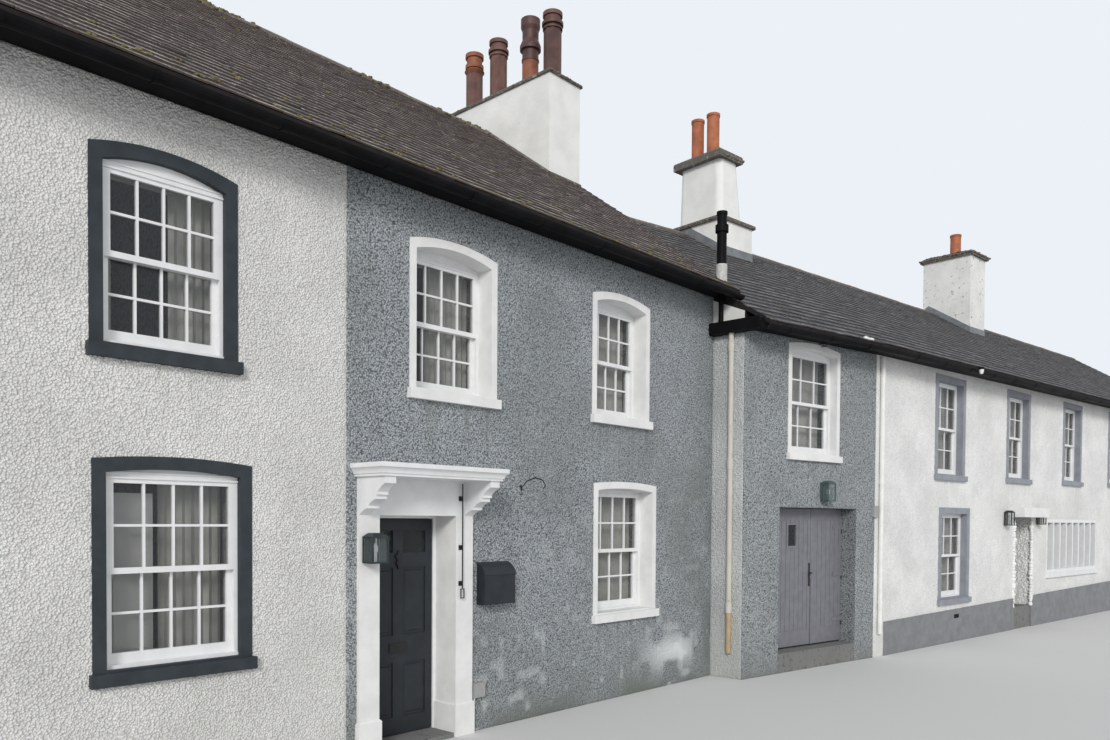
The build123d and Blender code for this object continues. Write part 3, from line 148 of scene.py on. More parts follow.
def pebbles(x, y, cell, seed):
    """Rounded lumps from 0 to 1, about a cell apart."""
    table = default_rng(seed).random((256, 256, 2))
    gx, gy = x / cell, y / cell
    ix, iy = np.floor(gx).astype(int), np.floor(gy).astype(int)
    nearest = np.full(gx.shape, 9.0)
    for di in (-1, 0, 1):
        for dj in (-1, 0, 1):
            spot = table[(ix + di) % 256, (iy + dj) % 256]
            away = np.hypot(ix + di + spot[..., 0] - gx, iy + dj + spot[..., 1] - gy)
            nearest = np.minimum(nearest, away)
    return 1 - np.clip(nearest / 0.8, 0, 1)


def smooth_step(value, low, high):
    t = np.clip((np.asarray(value, float) - low) / (high - low), 0, 1)
    return t * t * (3 - 2 * t)


def patches(u, z, cell, seed, low, high):
    """Soft-edged patches where the noise is high."""
    return smooth_step(value_noise(u, z, cell, seed), low, high)


# Shader parts
def new_material(name):
    mat = bpy.data.materials.new(name)
    mat.use_nodes = True
    tree = mat.node_tree
    return mat, tree, tree.nodes["Principled BSDF"]


def set_inputs(node, values):
    for label, value in values.items():
        node.inputs[label].default_value = value


def add_texture(tree, kind, values, feature=None):
    """A texture laid on the object's own coordinates."""
    node = tree.nodes.new(kind)
    if feature:
        node.feature = feature
    set_inputs(node, values)
    coords = tree.nodes.get("Texture Coordinate") or tree.nodes.new("ShaderNodeTexCoord")
    tree.links.new(coords.outputs["Object"], node.inputs["Vector"])
    return node


def noise_node(tree, scale, detail=2.0, roughness=0.5):
    values = {"Scale": scale, "Detail": detail, "Roughness": roughness}
    return add_texture(tree, "ShaderNodeTexNoise", values).outputs["Fac"]


def cell_node(tree, scale):
    """Distance from the middle of the nearest of many stony cells."""
    values = {"Scale": scale, "Smoothness": 0.25}
    return add_texture(tree, "ShaderNodeTexVoronoi", values, "SMOOTH_F1").outputs["Distance"]


def ramp(tree, value, low, high):
    """A factor from 0 to 1 as the value goes from low to high."""
    node = tree.nodes.new("ShaderNodeMapRange")
    node.interpolation_type = "SMOOTHSTEP"
    tree.links.new(value, node.inputs["Value"])
    set_inputs(node, {"From Min": low, "From Max": high})
    return node.outputs["Result"]


def attribute(tree, name):
    node = tree.nodes.new("ShaderNodeAttribute")
    node.attribute_name = name
    return node.outputs["Fac"]


def mix(tree, factor, first, second, blend="MIX"):
    """Mixes two colours. Each of the three is a socket, or else a value."""
    node = tree.nodes.new("ShaderNodeMix")
    node.data_type, node.blend_type = "RGBA", blend
    for i, value in ((0, factor), (6, first), (7, second)):
        if isinstance(value, bpy.types.NodeSocket):
            tree.links.new(value, node.inputs[i])
        else:
            node.inputs[i].default_value = (*value, 1) if i else value
    return node.outputs[2]


def darken(tree, color, factor, depth):
    """Multiplies a colour by depth where the factor is 0, and leaves it where it is 1."""
    return mix(tree, 1.0, color, mix(tree, factor, (depth,) * 3, (1, 1, 1)), "MULTIPLY")


def shade(color, factor):
    return tuple(min(1.0, c * factor) for c in color)


def bump(tree, shader, height, strength, distance):
    """Adds relief on top of the relief that the shader has."""
    node = tree.nodes.new("ShaderNodeBump")
    set_inputs(node, {"Strength": strength, "Distance": distance})
    tree.links.new(height, node.inputs["Height"])
    if shader.inputs["Normal"].is_linked:
        tree.links.new(shader.inputs["Normal"].links[0].from_socket, node.inputs["Normal"])
    tree.links.new(node.outputs["Normal"], shader.inputs["Normal"])


def coat(tree, shader, tone, values):
    tree.links.new(tone, shader.inputs["Base Color"])
    set_inputs(shader, values)


# Kinds of material
def painted(name, color, rough, spread, scale, grain, relief, metallic=0.0, shine=0.4):
    """A paint, metal or clay with uneven tone and a fine relief."""
    mat, tree, shader = new_material(name)
    broad = ramp(tree, noise_node(tree, scale, 4, 0.6), 0.3, 0.7)
    tone = mix(tree, broad, shade(color, 1 - spread), shade(color, 1 + spread * 0.6))
    coat(tree, shader, tone, {"Roughness": rough, "Metallic": metallic, "Specular IOR Level": shine})
    bump(tree, shader, noise_node(tree, grain, 3), 0.5, relief)
    return mat


def spotted(name, color, spot, amount, relief=0.004, scale=16.0):
    """Rough stone or old paint with spots."""
    mat, tree, shader = new_material(name)
    broad = ramp(tree, noise_node(tree, 2.4, 5, 0.6), 0.3, 0.7)
    tone = mix(tree, broad, shade(color, 0.88), color)
    spots = ramp(tree, noise_node(tree, scale, 5, 0.72), amount, amount + 0.06)
    tone = mix(tree, spots, tone, spot)
    coat(tree, shader, tone, {"Roughness": 0.88})
    bump(tree, shader, noise_node(tree, 22, 4, 0.6), 0.8, relief)
    return mat


def roughcast(name, color, damp_color, pale_color, stones, relief, depth):
    """Cast render, with so many stones a metre. The mesh says where it is damp or pale. Painted shade darkens
    the low lumps and the gaps between the stones.
    """
    mat, tree, shader = new_material(name)
    broad = ramp(tree, noise_node(tree, 1.3, 5, 0.65), 0.3, 0.7)
    tone = mix(tree, broad, shade(color, 0.90), shade(color, 1.07))
    # Painted shade: the low lumps, and more so the gaps between the stones, are darkened where shade falls in
    # the hollows.
    tone = darken(tree, tone, attribute(tree, "lump"), (1 + depth) / 2)
    stone_relief_and_shade = ramp(tree, cell_node(tree, stones), 0.95, 0.12)
    tone = darken(tree, tone, stone_relief_and_shade, depth)
    tone = mix(tree, attribute(tree, "damp"), tone, damp_color)
    tone = mix(tree, attribute(tree, "pale"), tone, pale_color)
    coat(tree, shader, tone, {"Roughness": 0.9, "Specular IOR Level": 0.25})
    bump(tree, shader, stone_relief_and_shade, 1.0, relief)
    bump(tree, shader, noise_node(tree, stones * 4, 3, 0.6), 0.8, relief * 0.4)
    return mat


def slate(name, color, warm, lichen, moss):
    """Old slates. The mesh says their tone, their moss, and how far up its slate (reach) a point is. A
    painted shadow darkens each slate towards the butt of the course above, and the lower edge is lighter,
    partly wear and lichen and partly a painted highlight.
    """
    mat, tree, shader = new_material(name)
    tone = mix(tree, attribute(tree, "tone"), shade(color, 0.2), shade(color, 2.1))
    streak = ramp(tree, noise_node(tree, 9, 4, 0.6), 0.42, 0.80)
    tone = mix(tree, streak, tone, warm)
    spots = ramp(tree, noise_node(tree, 24, 4, 0.7), 0.54, 0.61)
    tone = mix(tree, spots, tone, lichen)
    tone = mix(tree, attribute(tree, "moss"), tone, moss)
    crust = ramp(tree, noise_node(tree, 2.6, 6, 0.75), 0.50, 0.60)
    tone = mix(tree, crust, tone, mix(tree, attribute(tree, "tone"), tone, lichen))
    # Lighter along the lower edge: partly wear and lichen, partly a painted highlight where light catches the
    # edge.
    edge_wear_and_highlight = ramp(tree, attribute(tree, "reach"), 0.05, 0.0)
    tone = mix(tree, edge_wear_and_highlight, tone, shade(color, 1.15))
    # Painted shadow: each slate is darkened towards the butt of the course above it.
    painted_course_shadow = ramp(tree, attribute(tree, "reach"), 0.28, 0.44)
    tone = mix(tree, painted_course_shadow, tone, shade(color, 0.06))
    coat(tree, shader, tone, {"Roughness": 0.72})
    bump(tree, shader, noise_node(tree, 38, 4, 0.65), 0.7, 0.004)
    return mat


def glass(name, color, alpha):
    mat, tree, shader = new_material(name)
    set_inputs(shader, {"Base Color": (*color, 1), "Roughness": 0.06, "Alpha": alpha})
    set_inputs(shader, {"Specular IOR Level": 1.0})
    bump(tree, shader, noise_node(tree, 3.5, 1), 0.15, 0.004)
    return mat


# Colour, damp colour, pale colour, stones a metre, relief, and how dark the painted shade is between the
# stones
ROUGHCASTS = {
    "white_roughcast": ((0.93, 0.92, 0.90), (0.56, 0.56, 0.52), (0.88, 0.88, 0.87), 60, 0.009, 0.67),
    "grey_roughcast": ((0.61, 0.655, 0.69), (0.19, 0.205, 0.19), (0.76, 0.79, 0.80), 60, 0.010, 0.20),
    "garage_roughcast": ((0.56, 0.60, 0.625), (0.21, 0.22, 0.21), (0.90, 0.91, 0.88), 56, 0.010, 0.25),
    "long_roughcast": ((0.88, 0.88, 0.87), (0.58, 0.58, 0.54), (0.88, 0.88, 0.87), 48, 0.006, 0.80),
    "rear_roughcast": ((0.60, 0.60, 0.57), (0.36, 0.36, 0.32), (0.7, 0.7, 0.68), 26, 0.010, 0.6),
}
# Colour, warm streaks, lichen and moss
SLATES = {
    "brown_slate": ((0.082, 0.060, 0.054), (0.108, 0.074, 0.060), (0.40, 0.37, 0.33), (0.13, 0.13, 0.05)),
    "blue_slate": ((0.052, 0.049, 0.054), (0.064, 0.057, 0.055), (0.21, 0.205, 0.19), (0.10, 0.12, 0.03)),
}
# Colour, roughness, unevenness, patches a metre, grains a metre, relief, and for some metal and shine
PAINTS = {
    # The slate bed is near black: painted shade where its edges show at the eaves and verges, with moss there
    # too.
    "slate_bed": ((0.024, 0.020, 0.020), 0.8, 0.3, 8, 60, 0.002, 0.0, 0.1),
    "moss": ((0.18, 0.155, 0.06), 0.95, 0.5, 40, 160, 0.004),
    "black_paint": ((0.008, 0.008, 0.009), 0.5, 0.3, 5, 90, 0.0008, 0.0, 0.05),
    "dark_render": ((0.040, 0.048, 0.056), 0.6, 0.16, 7, 60, 0.0025, 0.0, 0.15),
    "white_paint": ((0.77, 0.77, 0.76), 0.5, 0.07, 5, 70, 0.0016),
    "grey_render": ((0.27, 0.285, 0.32), 0.65, 0.12, 6, 60, 0.002),
    "plinth": ((0.215, 0.218, 0.230), 0.75, 0.15, 6, 60, 0.002),
    "white_joinery": ((0.77, 0.775, 0.78), 0.35, 0.05, 8, 120, 0.0005),
    "charcoal_paint": ((0.022, 0.026, 0.031), 0.42, 0.18, 7, 90, 0.0006, 0.0, 0.3),
    "garage_paint": ((0.185, 0.185, 0.21), 0.5, 0.12, 9, 110, 0.0008),
    "white_pipe": ((0.78, 0.78, 0.76), 0.45, 0.08, 6, 90, 0.0008),
    "ochre_pipe": ((0.42, 0.31, 0.19), 0.6, 0.2, 8, 90, 0.001),
    "collar": ((0.52, 0.52, 0.50), 0.7, 0.25, 30, 90, 0.002),
    "pot_brown": ((0.085, 0.040, 0.034), 0.55, 0.35, 5, 50, 0.001),
    "pot_mauve": ((0.15, 0.075, 0.062), 0.65, 0.3, 6, 50, 0.001),
    "pot_orange": ((0.40, 0.135, 0.065), 0.7, 0.28, 6, 50, 0.001),
    "pot_rust": ((0.26, 0.095, 0.05), 0.65, 0.3, 6, 50, 0.001),
    "lead": ((0.21, 0.225, 0.24), 0.55, 0.2, 9, 40, 0.002, 0.3),
    "iron": ((0.012, 0.012, 0.013), 0.5, 0.3, 12, 90, 0.0008),
    "lantern_metal": ((0.035, 0.045, 0.048), 0.45, 0.2, 14, 90, 0.0006, 0.3),
    "lantern_teal": ((0.07, 0.11, 0.115), 0.45, 0.2, 14, 90, 0.0006, 0.3),
    "lantern_bronze": ((0.045, 0.038, 0.036), 0.45, 0.2, 14, 90, 0.0006, 0.3),
    "box_grey": ((0.33, 0.335, 0.33), 0.5, 0.1, 9, 90, 0.0004),
    "floor_boards": ((0.33, 0.23, 0.14), 0.6, 0.2, 4, 50, 0.001),
    "curtain": ((0.66, 0.66, 0.61), 0.8, 0.15, 5, 60, 0.002),
    "blind_white": ((0.74, 0.75, 0.72), 0.6, 0.06, 5, 60, 0.001),
}
# Colour, colour of the spots, how few they are, relief, and spots a metre
STONES = {
    "ridge": ((0.15, 0.125, 0.105), (0.30, 0.29, 0.25), 0.56),
    "cream_pipe": ((0.56, 0.54, 0.49), (0.40, 0.31, 0.20), 0.62, 0.001),
    "stack_white": ((0.84, 0.84, 0.82), (0.45, 0.44, 0.40), 0.67),
    "stack_spotted": ((0.80, 0.80, 0.78), (0.24, 0.24, 0.22), 0.60, 0.006, 12),
    "cap_stone": ((0.13, 0.115, 0.10), (0.32, 0.31, 0.27), 0.57, 0.008),
    "step_stone": ((0.19, 0.19, 0.185), (0.10, 0.10, 0.09), 0.56),
}
# Colour and how solid it looks
GLASSES = {
    # The window glass is dark and partly solid: painted shade for the dim rooms behind it.
    "glass": ((0.035, 0.042, 0.045), 0.26),
    "lantern_glass": ((0.16, 0.20, 0.20), 0.16),
}
MAT = {}
for make_kind, rows in (
    (roughcast, ROUGHCASTS), (slate, SLATES), (painted, PAINTS), (spotted, STONES), (glass, GLASSES),
):
    for name, row in rows.items():
        MAT[name] = make_kind(name, *row)

NODE_MATERIALS = {
    "white_roughcast": "white_house_front_wall end_walls",
    "grey_roughcast": "grey_house_lower_wall grey_house_upper_wall grey_house_gable_wall",
    "garage_roughcast": "garage_side_walls garage_house_upper_wall",
    "long_roughcast": "long_house_lower_wall long_house_upper_wall",
    "rear_roughcast": "left_rear_wall right_rear_wall party_walls",
    "slate_bed": "left_roof_front_slope left_roof_rear_slope right_roof_front_slope right_roof_rear_slope",
    "ridge": "ridge_tiles",
    "black_paint": "fascias_and_soffits gutters vent_pipe",
    "dark_render": "dark_window_surrounds",
    "white_paint": "white_window_surrounds rear_window_sills door_pilasters porch_hood",
    "grey_render": "grey_window_surrounds",
    "plinth": "long_house_plinth",
    "white_joinery": (
        "left_sash_windows right_sash_windows rear_sash_windows finned_window door_head_board door_hood "
        "front_door_frame"
    ),
    "charcoal_paint": "front_door plain_doors letterbox",
    "garage_paint": "garage_left_leaf garage_right_leaf",
    "cream_pipe": "cream_downpipe",
    "white_pipe": "white_downpipe",
    "stack_white": "left_chimney_stack middle_chimney_stack",
    "stack_spotted": "right_chimney_stack",
    "cap_stone": "chimney_caps",
    "pot_orange": "chimney_pots",
    "lead": "lead_flashings",
    "iron": "front_door_fittings garage_hinge_pins bell_pull iron_hooks",
    "step_stone": "doorway_sills",
    "lantern_metal": "wall_lanterns",
    "box_grey": "wall_boxes",
    "floor_boards": "ground_floors upper_floors",
    "glass": "window_glass front_door_glass garage_leaf_glass",
}
for key, names in NODE_MATERIALS.items():
    for name in names.split():
        nodes[name].data.materials.clear()
        nodes[name].data.materials.append(MAT[key])


def paint_faces(node, extra, choose):
    """Gives some faces of a node one of the extra materials, chosen by the middle of the face."""
    data = nodes[node].data
    for key in extra:
        data.materials.append(MAT[key])
    for polygon in data.polygons:
        polygon.material_index = choose(polygon.center)


# The left stack's pots from front to rear: how far back each one's space ends, the height where
# its clay changes, and its paint below and above that
ORANGE, BROWN, RUST, MAUVE = range(4)
LEFT_STACK_POTS = (
    (2.8, 9.36, BROWN, MAUVE),
    (3.4, 8.90, RUST, BROWN),
    (4.0, 8.62, RUST, MAUVE),
    (9.0, 9.12, MAUVE, RUST),
)


def pot_paint(centre):
    if centre.x > 7:
        return ORANGE
    back = centre.y + LEFT_DEPTH / 2
    for end, change, below, above in LEFT_STACK_POTS:
        if back < end:
            return below if centre.z < change else above
    return ORANGE


def lantern_paint(centre):
    return 0 if centre.x < 5 else (1 if centre.x < 9 else 2)


def vent_paint(centre):
    """The collar of the vent pipe: what stands wider than the pipe, low down."""
    return 1 if centre.z < 5.325 and hypot(centre.x - 5.535, centre.y + 3.813) > 0.063 else 0


paint_faces("chimney_pots", ["pot_brown", "pot_rust", "pot_mauve"], pot_paint)
paint_faces("wall_lanterns", ["lantern_teal", "lantern_bronze"], lantern_paint)
paint_faces("cream_downpipe", ["ochre_pipe"], lambda centre: 1 if centre.z < 0.86 else 0)
paint_faces("vent_pipe", ["collar"], vent_paint)

# Mesh building
BOX_FACES = [(0, 3, 2, 1), (4, 5, 6, 7), (0, 1, 5, 4), (1, 2, 6, 5), (2, 3, 7, 6), (3, 0, 4, 7)]


def turn_outward(mesh):
    work = bmesh.new()
    work.from_mesh(mesh)
    bmesh.ops.recalc_face_normals(work, faces=work.faces)
    work.to_mesh(mesh)
    work.free()


def new_mesh(name, points, faces, numbers=None):
    """A mesh, with any numbers that its points carry for the material."""
    mesh = bpy.data.meshes.new(name)
    mesh.from_pydata(points, [], faces)
    mesh.update()
    for label, values in (numbers or {}).items():
        layer = mesh.attributes.new(label, "FLOAT", "POINT")
        layer.data.foreach_set("value", values)
    return mesh


def new_object(name, data):
    obj = bpy.data.objects.new(name, data)
    bpy.context.scene.collection.objects.link(obj)
    return obj


def finish_piece(name, mesh, key, body, smooth):
    mesh.materials.append(MAT[key])
    if smooth:
        mesh.polygons.foreach_set("use_smooth", [True] * len(mesh.polygons))
    obj = new_object(name, mesh)
    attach(obj, body)
    return obj


class Solid:
    """Gathers closed pieces into one mesh."""

    def __init__(self):
        self.points = []
        self.faces = []

    def add(self, points, faces):
        start = len(self.points)
        self.points.extend(points)
        self.faces.extend([tuple(start + i for i in face) for face in faces])

    def slab(self, face, u, out, z):
        """A block by its range along a front, its range off it and its range in height."""
        (u0, u1), (o0, o1), (z0, z1) = u, out, z
        corners = ((u0, o0), (u0, o1), (u1, o1), (u1, o0))
        self.add([face.at(a, b, c) for c in (z0, z1) for a, b in corners], BOX_FACES)

    def rod(self, start, end, radius, sides=8, end_radius=None):
        a, b = Vector(start), Vector(end)
        axis = (b - a).normalized()
        side = axis.orthogonal().normalized()
        other = axis.cross(side)
        points = []
        for centre, r in ((a, radius), (b, radius if end_radius is None else end_radius)):
            for i in range(sides):
                t = 2 * pi * i / sides
                points.append(tuple(centre + (side * cos(t) + other * sin(t)) * r))
        faces = [(i, (i + 1) % sides, sides + (i + 1) % sides, sides + i) for i in range(sides)]
        faces += [tuple(range(sides))[::-1], tuple(range(sides, 2 * sides))]
        self.add(points, faces)

    def draw_out(self, first, second, places):
        """A thin section, given by its two sides of as many points, drawn between two places."""
        ring = first + second[::-1]
        n = len(ring)
        points = [place(*point) for place in places for point in ring]
        faces = [(i, (i + 1) % n, n + (i + 1) % n, n + i) for i in range(n)]
        for i in range(len(first) - 1):
            faces.append((n - 1 - i, i, i + 1, n - 2 - i))
            faces.append((n + i, 2 * n - 1 - i, 2 * n - 2 - i, n + i + 1))
        self.add(points, faces)

    def make(self, name, key, slot=None, body="root", smooth=False):
        """The piece, made of its material; the slot argument is not used."""
        mesh = new_mesh(name, self.points, self.faces)
        turn_outward(mesh)
        return finish_piece(name, mesh, key, body, smooth)


# Roughcast skins: a fine grid over each front, with its lumps as real relief
SKIN_BASE = 0.0014
SKIN_LUMP = 0.0108
SKIN_WAVE = 0.0014
SKIN_MOST = 0.0138
SKIN_EDGE = 0.001


def grid_lines(low, high, step, marks):
    """Even lines from low to high, with those near a mark moved onto it."""
    lines = [low, high] + [m for m in marks if low < m < high]
    for value in np.arange(low + step, high - 0.4 * step, step):
        if min(abs(value - m) for m in lines) > 0.4 * step:
            lines.append(float(value))
    return np.array(sorted(set(lines)))


def skin(name, face, key, width, top, step, holes, stain, relief, seed):
    """A roughcast surface from the ground to a top that follows the street, without the holes."""
    us = grid_lines(*width, step, [m for hole in holes for m in hole[:2]])
    zs = grid_lines(0.0, max(top(u) for u in width), step, [m for hole in holes for m in hole[2:]])
    grid_u, grid_z = np.meshgrid(us, zs)
    grit = default_rng(seed).random(grid_u.shape)
    lump = 0.75 * pebbles(grid_u, grid_z, 2 * step, seed) + 0.25 * grit
    wave = value_noise(grid_u, grid_z, 0.6, seed + 2)
    lift = np.minimum(SKIN_BASE + SKIN_LUMP * relief * lump + SKIN_WAVE * wave, SKIN_MOST)
    mid_u, mid_z = np.meshgrid((us[:-1] + us[1:]) / 2, (zs[:-1] + zs[1:]) / 2)
    keep = mid_z < np.vectorize(top)(mid_u)
    for left, right, foot, head in holes:
        keep &= ~((mid_u > left) & (mid_u < right) & (mid_z > foot) & (mid_z < head))
    sides = ((0, 1), (1, 0))
    kept_around = sum(np.pad(keep.astype(int), (down, across)) for down in sides for across in sides)
    used = kept_around > 0
    lift = np.where(kept_around < 4, SKIN_EDGE, lift)
    index = np.full(grid_u.shape, -1)
    index[used] = np.arange(used.sum())
    points = [face.at(u, o, z) for u, o, z in zip(grid_u[used], lift[used], grid_z[used])]
    rows, cols = np.nonzero(keep)
    corners = [index[rows, cols], index[rows, cols + 1], index[rows + 1, cols + 1], index[rows + 1, cols]]
    damp, pale = stain(grid_u[used], grid_z[used])
    # The lump number gives the relief, and the material also darkens the low lumps by it as painted shade.
    numbers = {"damp": damp, "pale": pale, "lump": lump[used]}
    numbers = {label: np.clip(values, 0, 1).astype(np.float32) for label, values in numbers.items()}
    mesh = new_mesh(name, points, np.stack(corners, axis=1).tolist(), numbers)
    return finish_piece(name, mesh, key, "root", True)


def window_holes(windows, margin):
    return [
        (w.left - margin, w.left + w.width + margin, w.foot - margin, w.foot + w.height + margin * 0.3)
        for w in windows
    ]


def drips(u, z, windows, seed):
    """Streaks of dirt under the sills."""
    total = np.zeros_like(u)
    for w in windows:
        sill, right = w.foot - 0.09, w.left + w.width
        across = smooth_step(u, w.left - 0.12, w.left - 0.02)
        across *= 1 - smooth_step(u, right + 0.02, right + 0.12)
        below = np.where(z < sill, np.exp(-(sill - z) / 0.35), 0)
        total += across * below * patches(u, u * 0, 0.05, seed, 0.45, 0.9)
    return total


def white_stain(u, z):
    """How damp and how pale the front is, and so with the four after it."""
    damp = np.exp(-z / 0.25) * (0.35 + 0.6 * value_noise(u, z, 0.35, 11))
    damp = damp + 0.22 * patches(u, z, 0.9, 12, 0.55, 0.9) + 0.35 * drips(u, z, WHITE_WINDOWS, 13)
    return damp, 0 * u


def grey_stain(u, z):
    """Damp at the foot and toward the garage house, and a bared pale patch low at the right."""
    low = np.exp(-z / 0.32) * (0.3 + 0.8 * value_noise(u, z, 0.3, 21))
    side = smooth_step(u, 4.4, 5.6) * patches(u, z, 0.35, 22, 0.35, 0.75) * 0.45
    side *= 1 - smooth_step(z, 2.2, 3.4)
    blotch = 0.25 * patches(u, z, 0.8, 23, 0.5, 0.9)
    pale = patches(u, z, 0.22, 24, 0.35, 0.6) * np.exp(-((u - 4.75) / 0.55) ** 2)
    pale *= np.exp(-((z - 0.42) / 0.2) ** 2)
    salt = 0.4 * patches(u, z, 0.12, 25, 0.72, 0.9) * np.exp(-z / 1.4)
    return low + side + blotch + 0.5 * drips(u, z, GREY_WINDOWS, 26), 0.9 * pale + salt


def garage_stain(u, z):
    damp = np.exp(-z / 0.3) * (0.3 + 0.6 * value_noise(u, z, 0.3, 31))
    damp = damp + 0.25 * patches(u, z, 0.7, 32, 0.5, 0.9) + 0.4 * drips(u, z, GARAGE_WINDOWS, 33)
    return damp, 0 * u


# The return wall is made paler all over: painted light on its side lit from the left. Damp darkens it towards
# the foot.
def return_damp_and_painted_light(u, z):
    damp = 0.3 * patches(u, z, 0.25, 36, 0.4, 0.8) * 0.5 + np.exp(-z / 0.4)
    return damp, 0.28 + 0.2 * value_noise(u, z, 0.5, 37)


def long_stain(u, z):
    damp = np.exp(-np.maximum(z - 0.5, 0) / 0.25) * 0.4 * value_noise(u, z, 0.35, 41)
    damp = damp + 0.2 * patches(u, z, 1.1, 42, 0.5, 0.9) + 0.35 * drips(u, z, LONG_WINDOWS, 43)
    return damp, 0 * u


LEFT_SKIN_TOP = 4.94
RIGHT_SKIN_TOP = 4.52
RETURN_SKIN_TOP = 4.42
fine = 0.0182
skin(
    "white_house_roughcast", LEFT, "white_roughcast", (-WHITE_WIDTH, 0),
    lambda u: LEFT_SKIN_TOP, fine, window_holes(WHITE_WINDOWS, 0.03) + [WHITE_DOORWAY], white_stain, 1.0, 101,
)
skin(
    "grey_house_roughcast", LEFT, "grey_roughcast", (0, GREY_WIDTH),
    lambda u: LEFT_SKIN_TOP, fine, window_holes(GREY_WINDOWS, 0.02) + [FRONT_DOORWAY], grey_stain, 1.0, 102,
)
skin(
    "garage_house_roughcast", GARAGE, "garage_roughcast", (0, GARAGE_WIDTH),
    lambda u: RIGHT_SKIN_TOP + RISE * (u - GARAGE_WIDTH), fine * 1.1,
    window_holes(GARAGE_WINDOWS, 0.02) + [GARAGE_DOORWAY], garage_stain, 0.95, 103,
)
skin(
    "garage_return_roughcast", RETURN, "garage_roughcast", (0, RETURN_WIDTH),
    lambda u: RETURN_SKIN_TOP, fine, [], return_damp_and_painted_light, 0.9, 104,
)
skin(
    "long_house_roughcast", LONG, "long_roughcast", (0, LONG_LENGTH),
    lambda u: RIGHT_SKIN_TOP + RISE * u, 0.042,
    window_holes(LONG_WINDOWS, 0.04) + [FINNED_WINDOW, PORCH], long_stain, 0.7, 105,
)

# White patch over the return wall, under the slates
white_patch = Solid()
patch_outline = ((0, 4.58), (RETURN_WIDTH, 4.58), (RETURN_WIDTH, 4.70), (0, 4.90))
white_patch.add([RETURN.at(u, o, z) for o in (0.001, 0.007) for u, z in patch_outline], BOX_FACES)
white_patch.make("return_wall_patch", "white_paint", "pale_grey_roughcast")


# Roofs
class Slope:
    """A roof slope: u along the eaves, s up the slope from the slate edge, n off the surface."""

    def __init__(self, face, roof, rise, zero, rear):
        self.face, self.rise, self.zero, self.rear = face, rise, zero, rear
        self.half, self.eave = roof.half, roof.eave
        self.c, self.s = cos(radians(roof.pitch)), sin(radians(roof.pitch))
        self.length = (self.half + OVERHANG) / self.c

    def back(self, s, n=0.0):
        return -OVERHANG + s * self.c - n * self.s

    def at(self, u, s, n=0.0):
        back = self.back(s, n)
        z = self.eave + s * self.s + n * self.c + self.rise * (u - self.zero)
        if self.rear:
            back = 2 * self.half - back
        return self.face.at(u, -back, z)


Roof = namedtuple("Roof", "half eave pitch grade ridge")


def make_roof(half, eave, pitch):
    grade = tan(radians(pitch))
    return Roof(half, eave, pitch, grade, eave + grade * (half + OVERHANG))


LEFT_ROOF = make_roof(LEFT_DEPTH / 2, 4.98, 36.4)
RIGHT_ROOF = make_roof(RIGHT_DEPTH / 2, 4.575, 33.3)
VERGE = 0.09
SLATE_THICK = 0.013
SLATE_COURSES = 1.5
SLATE_JOINT = 0.004
SLATE_LEAST = 0.03


def lay_slates(name, parts, key, gauge, widths, seed, mossy):
    """Courses of single slates, each a thin solid with its own tone, width and tilt.

    Each part has its slope, its left and right edge by how far back a course is, and its gaps.
    """
    rng = default_rng(seed)
    points, faces, tones, mosses, reaches = [], [], [], [], []
    scale = 1.0
    for slope, left_edge, right_edge, gaps in parts:
        for row in range(int(slope.length / gauge)):
            s0 = row * gauge
            s1 = min(s0 + SLATE_COURSES * gauge, slope.length - 0.01)
            back = slope.back(s0)
            low_edge, high_edge = left_edge(back), right_edge(back)
            u = low_edge - rng.random() * widths[0]
            while u < high_edge:
                width = rng.uniform(*widths) * scale
                a = max(u + SLATE_JOINT / 2, low_edge)
                b = min(u + width - SLATE_JOINT / 2, high_edge)
                u += width
                middle = (a + b) / 2
                in_gap = any(g0 < middle < g1 and b0 < back + 0.05 < b1 for g0, g1, b0, b1 in gaps)
                if b - a < SLATE_LEAST or in_gap:
                    continue
                low = s0 + rng.normal(0, 0.0035)
                lift = SLATE_THICK + 0.004 + abs(rng.normal(0, 0.0022))
                twist = rng.normal(0, 0.0014)
                start = len(points)
                a1, b1 = max(a, left_edge(slope.back(s1))), min(b, right_edge(slope.back(s1)))
                for base in (lift - SLATE_THICK, lift):
                    points += [slope.at(a, low, base + twist), slope.at(b, low, base - twist)]
                    points += [slope.at(end, s1, base - lift + 0.004) for end in (b1, a1)]
                faces.extend([tuple(start + i for i in face) for face in BOX_FACES])
                tones.extend([float(np.clip(rng.normal(0.42, 0.30), 0, 1))] * 8)
                mosses.extend([max(0.0, rng.random() * mossy * exp(-s0 / 0.35) - 0.35)] * 8)
                reaches.extend([0, 0, 1, 1] * 2)
    mesh = new_mesh(name, points, faces, {"tone": tones, "moss": mosses, "reach": reaches})
    turn_outward(mesh)
    return finish_piece(name, mesh, key, "root", False)


def edge_line(edge, skew=0.0, rear=False):
    """An end of the courses. On the skew, it shifts along the eaves as the roof goes back."""
    return lambda back: edge - skew * (RIGHT_DEPTH - back if rear else back)


def on_side(gap, depth, rear):
    """A gap, given from the front, as the chosen slope has it."""
    g0, g1, b0, b1 = gap
    return (g0, g1, depth - b1, depth - b0) if rear else gap


